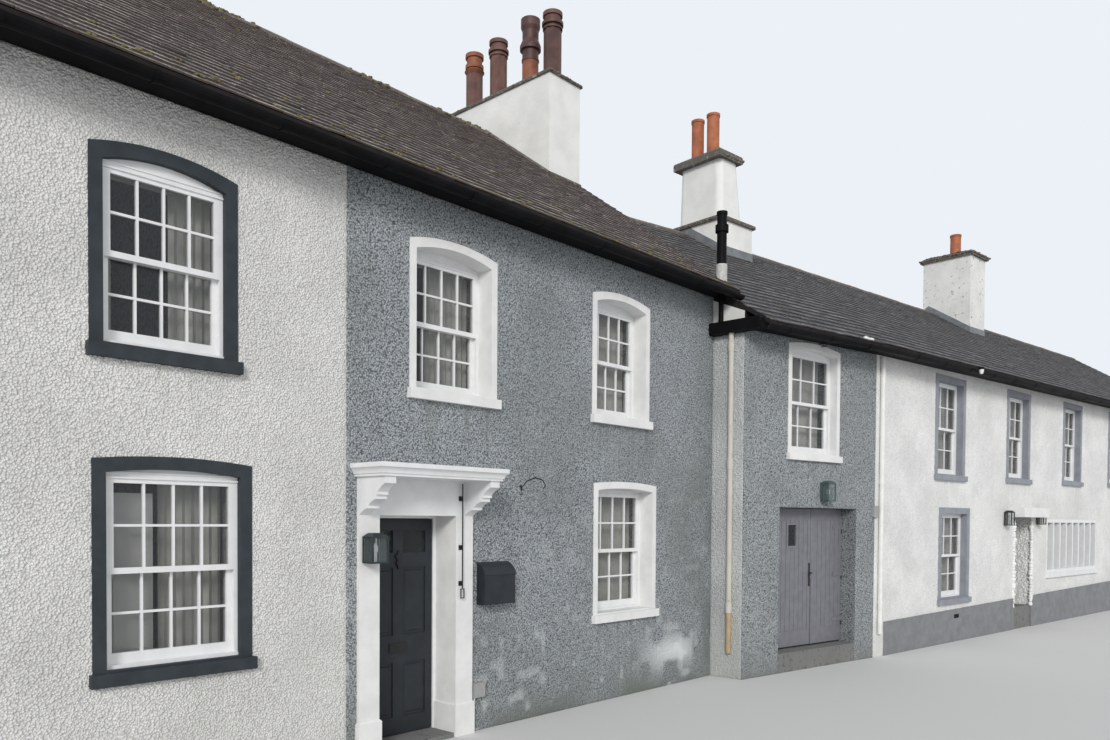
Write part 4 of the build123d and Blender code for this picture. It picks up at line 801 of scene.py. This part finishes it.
# Where the stacks come through: left, right, front and rear
LEFT_STACK_GAP = (4.95, 5.61, 2.33, 4.65)
MIDDLE_STACK_GAP = (-0.286, 0.612, 2.70, 3.85)
RIGHT_STACK_GAP = (9.09, 9.92, 2.50, 3.65)
GARAGE_SKEW_LEFT = 0.1584
GARAGE_SKEW_RIGHT = 0.0524
for rear in (False, True):
    side = "rear" if rear else "front"
    left_slope = Slope(LEFT, LEFT_ROOF, 0.0, 0.0, rear)
    left_gap = on_side(LEFT_STACK_GAP, LEFT_DEPTH, rear)
    left_part = (left_slope, edge_line(-WHITE_WIDTH), edge_line(GREY_WIDTH + VERGE), [left_gap])
    lay_slates(f"left_{side}_slates", [left_part], "brown_slate", 0.142, (0.13, 0.24), 201 + rear, 1.0)
    garage_slope = Slope(GARAGE, RIGHT_ROOF, RISE, GARAGE_WIDTH, rear)
    long_slope = Slope(LONG, RIGHT_ROOF, RISE, 0.0, rear)
    middle_gap = on_side(MIDDLE_STACK_GAP, RIGHT_DEPTH, rear)
    right_gap = on_side(RIGHT_STACK_GAP, RIGHT_DEPTH, rear)
    garage_gap = (GARAGE_WIDTH + middle_gap[0] - 0.2, GARAGE_WIDTH + middle_gap[1], *middle_gap[2:])
    garage_ends = (edge_line(0.0, GARAGE_SKEW_LEFT, rear), edge_line(GARAGE_WIDTH, GARAGE_SKEW_RIGHT, rear))
    right_parts = [
        (garage_slope, *garage_ends, [garage_gap]),
        (long_slope, edge_line(0.0), edge_line(LONG_LENGTH + VERGE), [middle_gap, right_gap]),
    ]
    lay_slates(f"right_{side}_slates", right_parts, "blue_slate", 0.185, (0.17, 0.30), 211 + rear, 0.5)


# Glazing bars
def sash_boxes(w):
    """The upper and the lower sash, each by left, foot, width, height and how much deeper it is set."""
    left, foot = w.left + BOX_FRAME, w.foot + BOX_FRAME
    width, height = w.width - 2 * BOX_FRAME, w.height - w.rise - 2 * BOX_FRAME
    each = (height + RAIL) / 2
    return (left, foot + height - each, width, each, 0.0), (left, foot, width, each, SASH)


def bars(name, rows, inward=1):
    """Glazing bars for both sashes of each window: upright ones, and one across."""
    solid = Solid()
    for face, windows, reveal, columns in rows:
        for left, foot, width, height, depth in (box for w in windows for box in sash_boxes(w)):
            near = -(reveal + depth + 0.006) * inward
            far = -(reveal + depth + SASH - 0.006) * inward
            outs = (min(near, far), max(near, far))
            l, r = left + RAIL - 0.002, left + width - RAIL + 0.002
            low = foot + (FOOT_RAIL if depth else RAIL) - 0.002
            high = foot + height - RAIL + 0.002
            for i in range(1, columns):
                u = l + (r - l) * i / columns
                solid.slab(face, (u - BAR / 2, u + BAR / 2), outs, (low, high))
            z = low + (high - low) / 2
            solid.slab(face, (l, r), (outs[0] + 0.001, outs[1] - 0.001), (z - BAR / 2, z + BAR / 2))
    solid.make(name, "white_joinery")


def rear_row(face, depth, places, lift=0.0, rise=0.0):
    windows = [Window(p, f + lift + rise * p, 0.90, 1.30, 0) for p in places for f in (0.98, 3.19)]
    return Rear(face, depth), windows, REAR_REVEAL, 3


rear_rows = (
    rear_row(LEFT, LEFT_DEPTH, (-4.7, -2.1, 0.9, 3.5)),
    rear_row(GARAGE, RIGHT_DEPTH, (0.7,), -0.25),
    rear_row(LONG, RIGHT_DEPTH, (1.0, 4.6, 8.2, 11.8, 15.4), -0.25, RISE),
)
bars("left_glazing_bars", FRONTS[:2])
bars("right_glazing_bars", FRONTS[2:])
bars("rear_glazing_bars", rear_rows, -1)

# Moulded boards over the sashes, and the beads at their feet
trim = Solid()
for face, windows, reveal, _ in FRONTS[:3]:
    for w in windows:
        top, right = w.foot + w.height - w.rise, w.left + w.width
        for drop, proud in ((0.040, 0.012), (0.004, 0.008)):
            across = (w.left + 0.017, right - 0.017)
            trim.slab(face, across, (-reveal, -reveal + proud), (top - drop - 0.012, top - drop))
        bead = (w.foot + 0.016, w.foot + 0.038)
        trim.slab(face, (w.left + 0.016, right - 0.016), (-reveal, -reveal + 0.014), bead)
trim.make("window_mouldings", "white_joinery")

# Blinds of upright slats that show behind the panes, each on a rail across its opening
SLAT_PITCH = 0.034


def blind(solid, face, w, spans, out):
    """Upright slats over parts of a window's width, hung from a rail and joined at the foot."""
    top = w.foot + w.height - w.rise - 0.01
    solid.slab(face, (w.left, w.left + w.width), (out - 0.016, out + 0.016), (top - 0.045, top))
    for start, end in spans:
        u0, u1 = w.left + w.width * start, w.left + w.width * end
        solid.slab(face, (u0, u1), (out - 0.006, out + 0.006), (w.foot + 0.02, w.foot + 0.045))
        for i in range(int((u1 - u0) / SLAT_PITCH)):
            u = u0 + SLAT_PITCH * i
            near, far = (out + 0.014, out - 0.012) if i % 2 else (out - 0.012, out + 0.014)
            plan = ((u, near - 0.002), (u, near), (u + SLAT_PITCH, far), (u + SLAT_PITCH, far - 0.002))
            solid.add([face.at(a, b, c) for c in (w.foot + 0.03, top - 0.03) for a, b in plan], BOX_FACES)


BOTH_SIDES = ((0.02, 0.14), (0.42, 0.98))
blinds = Solid()
blind(blinds, LEFT, WHITE_WINDOWS[0], ((0.02, 0.20), (0.62, 0.98)), -0.22)
blind(blinds, LEFT, WHITE_WINDOWS[1], ((0.48, 0.98),), -0.26)
for window in GREY_WINDOWS:
    blind(blinds, LEFT, window, BOTH_SIDES, -0.34)
blind(blinds, GARAGE, GARAGE_WINDOWS[0], BOTH_SIDES, -0.30)
for window in LONG_WINDOWS:
    blind(blinds, LONG, window, ((0.60, 0.98),), -0.30)
blinds.make("window_blinds", "curtain", "white_joinery")

# Panelled shutter behind the white house's lower window
shutter = Solid()
shutter.slab(LEFT, (-1.80, -1.50), (-0.22, -0.19), (0.99, 2.20))
for panel in ((1.10, 1.60), (1.68, 2.12)):
    shutter.slab(LEFT, (-1.775, -1.525), (-0.19, -0.183), panel)
shutter.make("shutter", "blind_white", "white_joinery")

# Gutter straps and unions, wide and narrow in turn
GUTTER_RADIUS = 0.058
GUTTER_OUT = OVERHANG - 0.05 + GUTTER_RADIUS
STRAP_RADIUS = 0.064
STRAP_THICK = 0.006
LEFT_GUTTER, RIGHT_GUTTER = 4.918, 4.515


def half_round(level, radius):
    turns = [pi * i / 8 for i in range(9)]
    return [(GUTTER_OUT + radius * cos(t), level - radius * sin(t)) for t in turns]


straps = Solid()
for face, places, gutter, rise, zero in (
    (LEFT, np.arange(-5.4, 5.6, 0.92), LEFT_GUTTER, 0.0, 0.0),
    (GARAGE, np.arange(0.4, 3.0, 0.9), RIGHT_GUTTER, RISE, GARAGE_WIDTH),
    (LONG, np.arange(0.5, 18.9, 0.92), RIGHT_GUTTER, RISE, 0.0),
):
    for i, u in enumerate(places):
        level = gutter + rise * (u - zero)
        ends = [lambda o, z, v=v: face.at(v, o, z) for v in (u, u + (0.07 if i % 2 else 0.03))]
        straps.draw_out(half_round(level, STRAP_RADIUS), half_round(level, STRAP_RADIUS - STRAP_THICK), ends)
straps.make("gutter_straps", "black_paint")

# Boards in the frames of the garage leaves, round the small light, and the handle
LEAF_FIELD = (0.500, 2.047)
LEAF_STILE = 0.06
LEFT_LEAF = (0.758, 1.776)
RIGHT_LEAF = (1.784, 2.542)
LIGHT_MARGIN = 0.035
LEAF_LIGHT = (1.265 - LIGHT_MARGIN, 1.448 + LIGHT_MARGIN, 1.69 - LIGHT_MARGIN, 1.98 + LIGHT_MARGIN)


def boards(leaf, light):
    solid = Solid()
    left, right = leaf[0] + LEAF_STILE, leaf[1] - LEAF_STILE
    count = max(1, round((right - left) / 0.1))
    for i in range(count):
        a = left + (right - left) * i / count + 0.0035
        b = left + (right - left) * (i + 1) / count - 0.0035
        spans = [LEAF_FIELD]
        if light and b > light[0] and a < light[1]:
            spans = [(LEAF_FIELD[0], light[2]), (light[3], LEAF_FIELD[1])]
        for z0, z1 in spans:
            outs = (GARAGE_LEAF_OUT - 0.0125, GARAGE_LEAF_OUT - 0.0045)
            solid.slab(GARAGE, (a, b), outs, (z0 + 0.001, z1 - 0.001))
    return solid


def on_leaf(u, proud, z):
    return GARAGE.at(u, GARAGE_LEAF_OUT + proud, z)


boards(LEFT_LEAF, LEAF_LIGHT).make("garage_left_boards", "garage_paint", body="garage_left")
handle = Solid()
handle.slab(GARAGE, (1.738, 1.770), (GARAGE_LEAF_OUT, GARAGE_LEAF_OUT + 0.006), (1.15, 1.40))
for z in (1.13, 1.42):
    handle.rod(on_leaf(1.754, 0, z), on_leaf(1.754, 0.006, z), 0.022, 10)
handle.rod(on_leaf(1.754, 0.004, 1.30), on_leaf(1.754, 0.05, 1.30), 0.009)
handle.rod(on_leaf(1.764, 0.046, 1.30), on_leaf(1.68, 0.046, 1.29), 0.008)
handle.make("garage_handle", "iron", body="garage_left")
boards(RIGHT_LEAF, None).make("garage_right_boards", "garage_paint", body="garage_right")

# Reeds on the lights of the front door
REED_COUNT = 17
LIGHT_WIDTH = 0.262
reeds = Solid()
for left in (0.422, 0.796):
    for i in range(REED_COUNT):
        u = left + LIGHT_WIDTH * (i + 0.5) / REED_COUNT
        ends = [LEFT.at(u, FRONT_DOOR_OUT - 0.021, z) for z in (1.721, 1.924)]
        reeds.rod(*ends, 0.006, 6)
reeds.make("door_reeds", "glass", body="front_door_leaf")

# Glass and candle bulbs of the lanterns
PILASTER = Face(0, -3.69, 0)
POST = 0.014
# Face, left, foot, width, height, depth, and how far each stands off its wall
LANTERNS = (
    (PILASTER, 0.118, 1.656, 0.165, 0.225, 0.145, 0.020),
    (GARAGE, 1.640, 2.310, 0.180, 0.255, 0.130, 0.015),
    (LONG, 4.770, 1.980, 0.150, 0.250, 0.135, 0.015),
    (LONG, 6.360, 2.000, 0.150, 0.250, 0.135, 0.015),
)
panes, bulbs = Solid(), Solid()
for face, u, z, w, h, d, stand in LANTERNS:
    near, far = stand + d, stand
    tall = (z + POST, z + h - POST)
    panes.slab(face, (u + POST, u + w - POST), (near - 0.008, near - 0.005), tall)
    panes.slab(face, (u + 0.005, u + 0.008), (far + POST, near - POST), tall)
    panes.slab(face, (u + w - 0.008, u + w - 0.005), (far + POST, near - POST), tall)
    middle = (u + w / 2, (near + far) / 2)
    bulbs.rod(face.at(*middle, z + POST), face.at(*middle, z + h * 0.42), 0.012)
    bulbs.rod(face.at(*middle, z + h * 0.42), face.at(*middle, z + h * 0.62), 0.021, 10)
    bulbs.rod(face.at(*middle, z + h * 0.62), face.at(*middle, z + h * 0.78), 0.021, 10, 0.004)
panes.make("lantern_panes", "lantern_glass", "glass")
bulbs.make("lantern_bulbs", "white_joinery")

# Lumps: rough twenty-sided stones, for moss, mortar and rough edges
ICO_Z = 1 / sqrt(5)
ICO = [(0, 0, 1), (0, 0, -1)]
for shift, level in ((0, ICO_Z), (0.5, -ICO_Z)):
    for k in range(5):
        t = 2 * pi * (k + shift) / 5
        ICO.append((2 * ICO_Z * cos(t), 2 * ICO_Z * sin(t), level))
ICO_FACES = []
for k in range(5):
    n = (k + 1) % 5
    ICO_FACES += [(0, 2 + k, 2 + n), (1, 7 + n, 7 + k), (2 + k, 7 + k, 2 + n), (2 + n, 7 + k, 7 + n)]


def lump(solid, centre, wide, tall, rng):
    points = []
    for x, y, z in ICO:
        f = rng.uniform(0.8, 1.2)
        points.append((centre[0] + x * wide * f, centre[1] + y * wide * f, centre[2] + z * tall * f))
    solid.add(points, ICO_FACES)


# Moss near the eaves and lichen along the ridge of the left roof
MOSS_TOP = 7.955
moss = Solid()
rng = default_rng(301)
left_slope = Slope(LEFT, LEFT_ROOF, 0.0, 0.0, False)
for i in range(150):
    s = float(rng.exponential(0.25)) if i % 3 else float(rng.uniform(0, 4.6))
    u = float(rng.uniform(-5.6, 5.6))
    if s > 4.8:
        continue
    size = float(rng.uniform(0.008, 0.026))
    for _ in range(3):
        place = left_slope.at(u + rng.normal(0, size), min(s + abs(rng.normal(0, size * 0.6)), 4.9), 0.016)
        lump(moss, place, size * rng.uniform(0.6, 1.0), size * 0.55, rng)
for i in range(230):
    u = float(rng.uniform(-5.6, 4.9))
    back = LEFT_ROOF.half - float(rng.uniform(-0.1, 0.2))
    size = float(rng.uniform(0.02, 0.05))
    level = LEFT_ROOF.eave + LEFT_ROOF.grade * (back + OVERHANG) + 0.03
    if value_noise(u, 0.0, 0.9, 304) > 0.45:
        lump(moss, LEFT.at(u, -back, min(level, MOSS_TOP)), size, size * 0.5, rng)
moss.make("moss_tufts", "moss", "brown_slate", smooth=True)

# Ridge: single ridge tiles with open joints, in place of the plain ridge
TILE_LENGTH = 0.45
TILE_PITCH = 0.455
TILE_REACH = 0.15
TILE_THICK = 0.034
ridge = Solid()
rng = default_rng(302)


def ridge_run(face, roof, start, end, rise, zero):
    u = start
    while u < end - 0.05:
        length = min(TILE_LENGTH, end - u)
        jitter = rng.normal(0, 0.003)
        drop = TILE_REACH * roof.grade
        under, over = [], []
        for back, fall in ((-TILE_REACH, drop), (-0.03, 0.022), (0.03, 0.022), (TILE_REACH, drop)):
            under.append((roof.half + back, roof.ridge - fall + jitter + 0.003))
            over.append((roof.half + back * 1.02, roof.ridge - fall + TILE_THICK + jitter))
        ends = [lambda b, z, v=v: face.at(v, -b, z + rise * (v - zero)) for v in (u, u + length)]
        ridge.draw_out(under, over, ends)
        u += TILE_PITCH


ridge_run(LEFT, LEFT_ROOF, -WHITE_WIDTH, 4.95, 0, 0)
ridge_run(LEFT, LEFT_ROOF, 5.62, 5.70, 0, 0)
ridge_run(GARAGE, RIGHT_ROOF, -0.55, GARAGE_WIDTH - 0.47, RISE, GARAGE_WIDTH)
ridge_run(LONG, RIGHT_ROOF, 0.625, 9.07, RISE, 0)
ridge_run(LONG, RIGHT_ROOF, 9.935, LONG_LENGTH + VERGE, RISE, 0)
ridge_piece = ridge.make("ridge_tile_row", "ridge", "ridge_tile")
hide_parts("ridge_tiles")


# Mortar at the foot of the left stack
def on_left_slates(x, back):
    half_back = LEFT_ROOF.half - abs(LEFT_ROOF.half - back)
    return LEFT.at(x, -back, LEFT_ROOF.eave + LEFT_ROOF.grade * (half_back + OVERHANG) + 0.012)


mortar = Solid()
corners = [(5.61, 2.32), (4.94, 2.32), (4.94, 3.65), (4.94, 4.66), (5.61, 4.66)]
for first, second in zip(corners, corners[1:]):
    mortar.rod(on_left_slates(*first), on_left_slates(*second), 0.034, 6)
mortar.make("stack_mortar", "cap_stone")

# Rough stones round the edges of the caps, and mortar round the left stack's pots
rng = default_rng(303)
# Face, left, right, front, rear and height of each edge, and how many stones of what size it has
CAP_EDGES = (
    (LONG, 9.04, 9.97, 2.45, 3.70, 8.505, 70, 0.052),
    (LONG, 9.09, 9.92, 2.50, 3.65, 8.555, 60, 0.050),
    (LONG, -0.32, 0.645, 2.67, 3.88, 7.180, 90, 0.034),
    (LONG, -0.215, 0.355, 2.745, 3.725, 8.285, 56, 0.050),
    (LONG, -0.180, 0.320, 2.785, 3.685, 8.345, 46, 0.048),
    (LEFT, 4.945, 5.62, 2.31, 4.67, 8.42, 130, 0.034),
)
LEFT_POTS_X = 5.28
LEFT_POTS_BACK = (2.582, 3.034, 3.724, 4.277)
stones = Solid()
for face, left, right, front, rear, level, count, stone in CAP_EDGES:
    wide, deep = right - left, rear - front
    around = 2 * (wide + deep)
    for i in range(count):
        d = around * (i + rng.uniform(-0.3, 0.3)) / count % around
        if d < wide:
            u, back = left + d, front
        elif d < wide + deep:
            u, back = right, front + (d - wide)
        elif d < 2 * wide + deep:
            u, back = right - (d - wide - deep), rear
        else:
            u, back = left, rear - (d - 2 * wide - deep)
        size = stone * rng.uniform(0.7, 1.25)
        lump(stones, face.at(u, -back, level + rng.normal(0, 0.005)), size, size * 0.5, rng)
for back in LEFT_POTS_BACK:
    for i in range(9):
        t = 2 * pi * i / 9
        place = LEFT.at(LEFT_POTS_X + 0.15 * cos(t), -(back + 0.15 * sin(t)), 8.462)
        lump(stones, place, 0.05 * rng.uniform(0.8, 1.2), 0.022, rng)
stones.make("cap_stones", "cap_stone", smooth=True)

# Rough white stones up the edges and over the jambs of the long house's porch
jambs = Solid()
for u, side in ((PORCH[0], 1), (PORCH[1], -1)):
    z = 0.44
    while z < 2.08:
        s = rng.uniform(0.030, 0.055)
        lump(jambs, LONG.at(u + rng.normal(0, 0.006), 0.006, z), s, s * 0.95, rng)
        z += s * rng.uniform(0.9, 1.4)
    for i in range(330):
        place = LONG.at(u - side * 0.018, rng.uniform(-0.37, -0.02), rng.uniform(0.45, 2.1))
        lump(jambs, place, rng.uniform(0.024, 0.034), 0.034, rng)
jambs.make("porch_stones", "stack_white", "white_roughcast", smooth=True)

# Lamp in front of the long house's gutter, on a bracket and a side arm
LAMP = (2.57, 0.462)
lamp = Solid()
lamp.rod(LONG.at(LAMP[0], 0.405, 4.575), LONG.at(*LAMP, 4.575), 0.010)
lamp.rod(LONG.at(2.44, 0.414, 4.530), LONG.at(*LAMP, 4.565), 0.010)
lamp.rod(LONG.at(*LAMP, 4.585), LONG.at(*LAMP, 4.548), 0.042, 12)
lamp.make("eaves_lamp", "black_paint")
globe = Solid()
globe.rod(LONG.at(*LAMP, 4.548), LONG.at(*LAMP, 4.480), 0.040, 12, 0.026)
globe.make("eaves_lamp_glass", "blind_white", "white_joinery")

# Vent in the plinth, a patch of mortar on the eaves, and the conduit under the meter box
vent = Solid()
vent.slab(LONG, (2.70, 2.88), (0.0255, 0.029), (0.40, 0.465))
vent.make("plinth_vent", "black_paint")
eaves_patch = Solid()
for i in range(7):
    lump(eaves_patch, GARAGE.at(2.20 + 0.035 * i, 0.33 - 0.006 * i, 4.594 + 0.002 * i), 0.040, 0.030, rng)
eaves_patch.make("eaves_mortar", "white_paint", "white_joinery", smooth=True)
conduit = Solid()
conduit.rod(LEFT.at(1.425, 0.021, 0.335), LEFT.at(1.41, 0.021, 0.17), 0.006)
conduit.rod(LEFT.at(1.41, 0.021, 0.17), LEFT.at(1.42, 0.021, 0.0), 0.006)
conduit.make("meter_conduit", "white_pipe")


# Floor, world, lamps and camera
FLOOR_HALF = 260.0


def add_floor():
    s = FLOOR_HALF
    mesh = new_mesh("floor", [(-s, -s, 0), (s, -s, 0), (s, s, 0), (-s, s, 0)], [(0, 1, 2, 3)])
    mat, tree, shader = new_material("floor")
    set_inputs(shader, {"Base Color": (0.70, 0.70, 0.69, 1), "Roughness": 0.95})
    mesh.materials.append(mat)
    obj = new_object("floor", mesh)
    obj.location.z = -0.002


def add_world():
    """Soft light from all round, and a pale sky for the camera, glass and gloss."""
    world = bpy.data.worlds.new("studio")
    bpy.context.scene.world = world
    world.use_nodes = True
    tree = world.node_tree
    light = tree.nodes["Background"]
    set_inputs(light, {"Color": (0.93, 0.96, 1.0, 1), "Strength": 0.56})
    backdrop = tree.nodes.new("ShaderNodeBackground")
    set_inputs(backdrop, {"Color": (0.84, 0.88, 0.93, 1), "Strength": 1.0})
    path = tree.nodes.new("ShaderNodeLightPath")
    seen = path.outputs["Is Camera Ray"]
    for ray in ("Is Transmission Ray", "Is Glossy Ray"):
        either = tree.nodes.new("ShaderNodeMath")
        either.operation = "MAXIMUM"
        tree.links.new(seen, either.inputs[0])
        tree.links.new(path.outputs[ray], either.inputs[1])
        seen = either.outputs[0]
    chooser = tree.nodes.new("ShaderNodeMixShader")
    for i, socket in enumerate((seen, light.outputs[0], backdrop.outputs[0])):
        tree.links.new(socket, chooser.inputs[i])
    tree.links.new(chooser.outputs[0], tree.nodes["World Output"].inputs["Surface"])


def add_sun(name, energy, spread, direction):
    """A soft lamp from far away."""
    sun = bpy.data.lights.new(name, "SUN")
    sun.energy = energy
    sun.angle = radians(spread)
    sun.color = (1.0, 0.985, 0.96)
    new_object(name, sun).rotation_euler = Vector(direction).to_track_quat("-Z", "Y").to_euler()


def add_camera(place, yaw, pitch, roll):
    """The photograph's camera: yaw from +Y toward +X, then pitch and roll, in degrees."""
    camera = bpy.data.cameras.new("camera")
    camera.lens = 27.99
    camera.sensor_width = 36
    camera.sensor_fit = "HORIZONTAL"
    camera.shift_y = 0.152
    camera.clip_end = 500
    obj = new_object("camera", camera)
    matrix = Matrix.Translation(place)
    for turn, axis in ((-yaw, "Z"), (90 + pitch, "X"), (roll, "Z")):
        matrix @= Matrix.Rotation(radians(turn), 4, axis)
    obj.matrix_world = matrix
    bpy.context.scene.camera = obj


add_floor()
add_world()
add_sun("key", 1.85, 16, (0.80, 0.62, -0.42))
add_sun("fill", 0.50, 60, (0.20, 0.90, -0.12))
add_camera((-4.1267, -9.7712, 2.0295), yaw=47.595, pitch=-1.246, roll=0.371)
bpy.context.scene.view_settings.view_transform = "Standard"
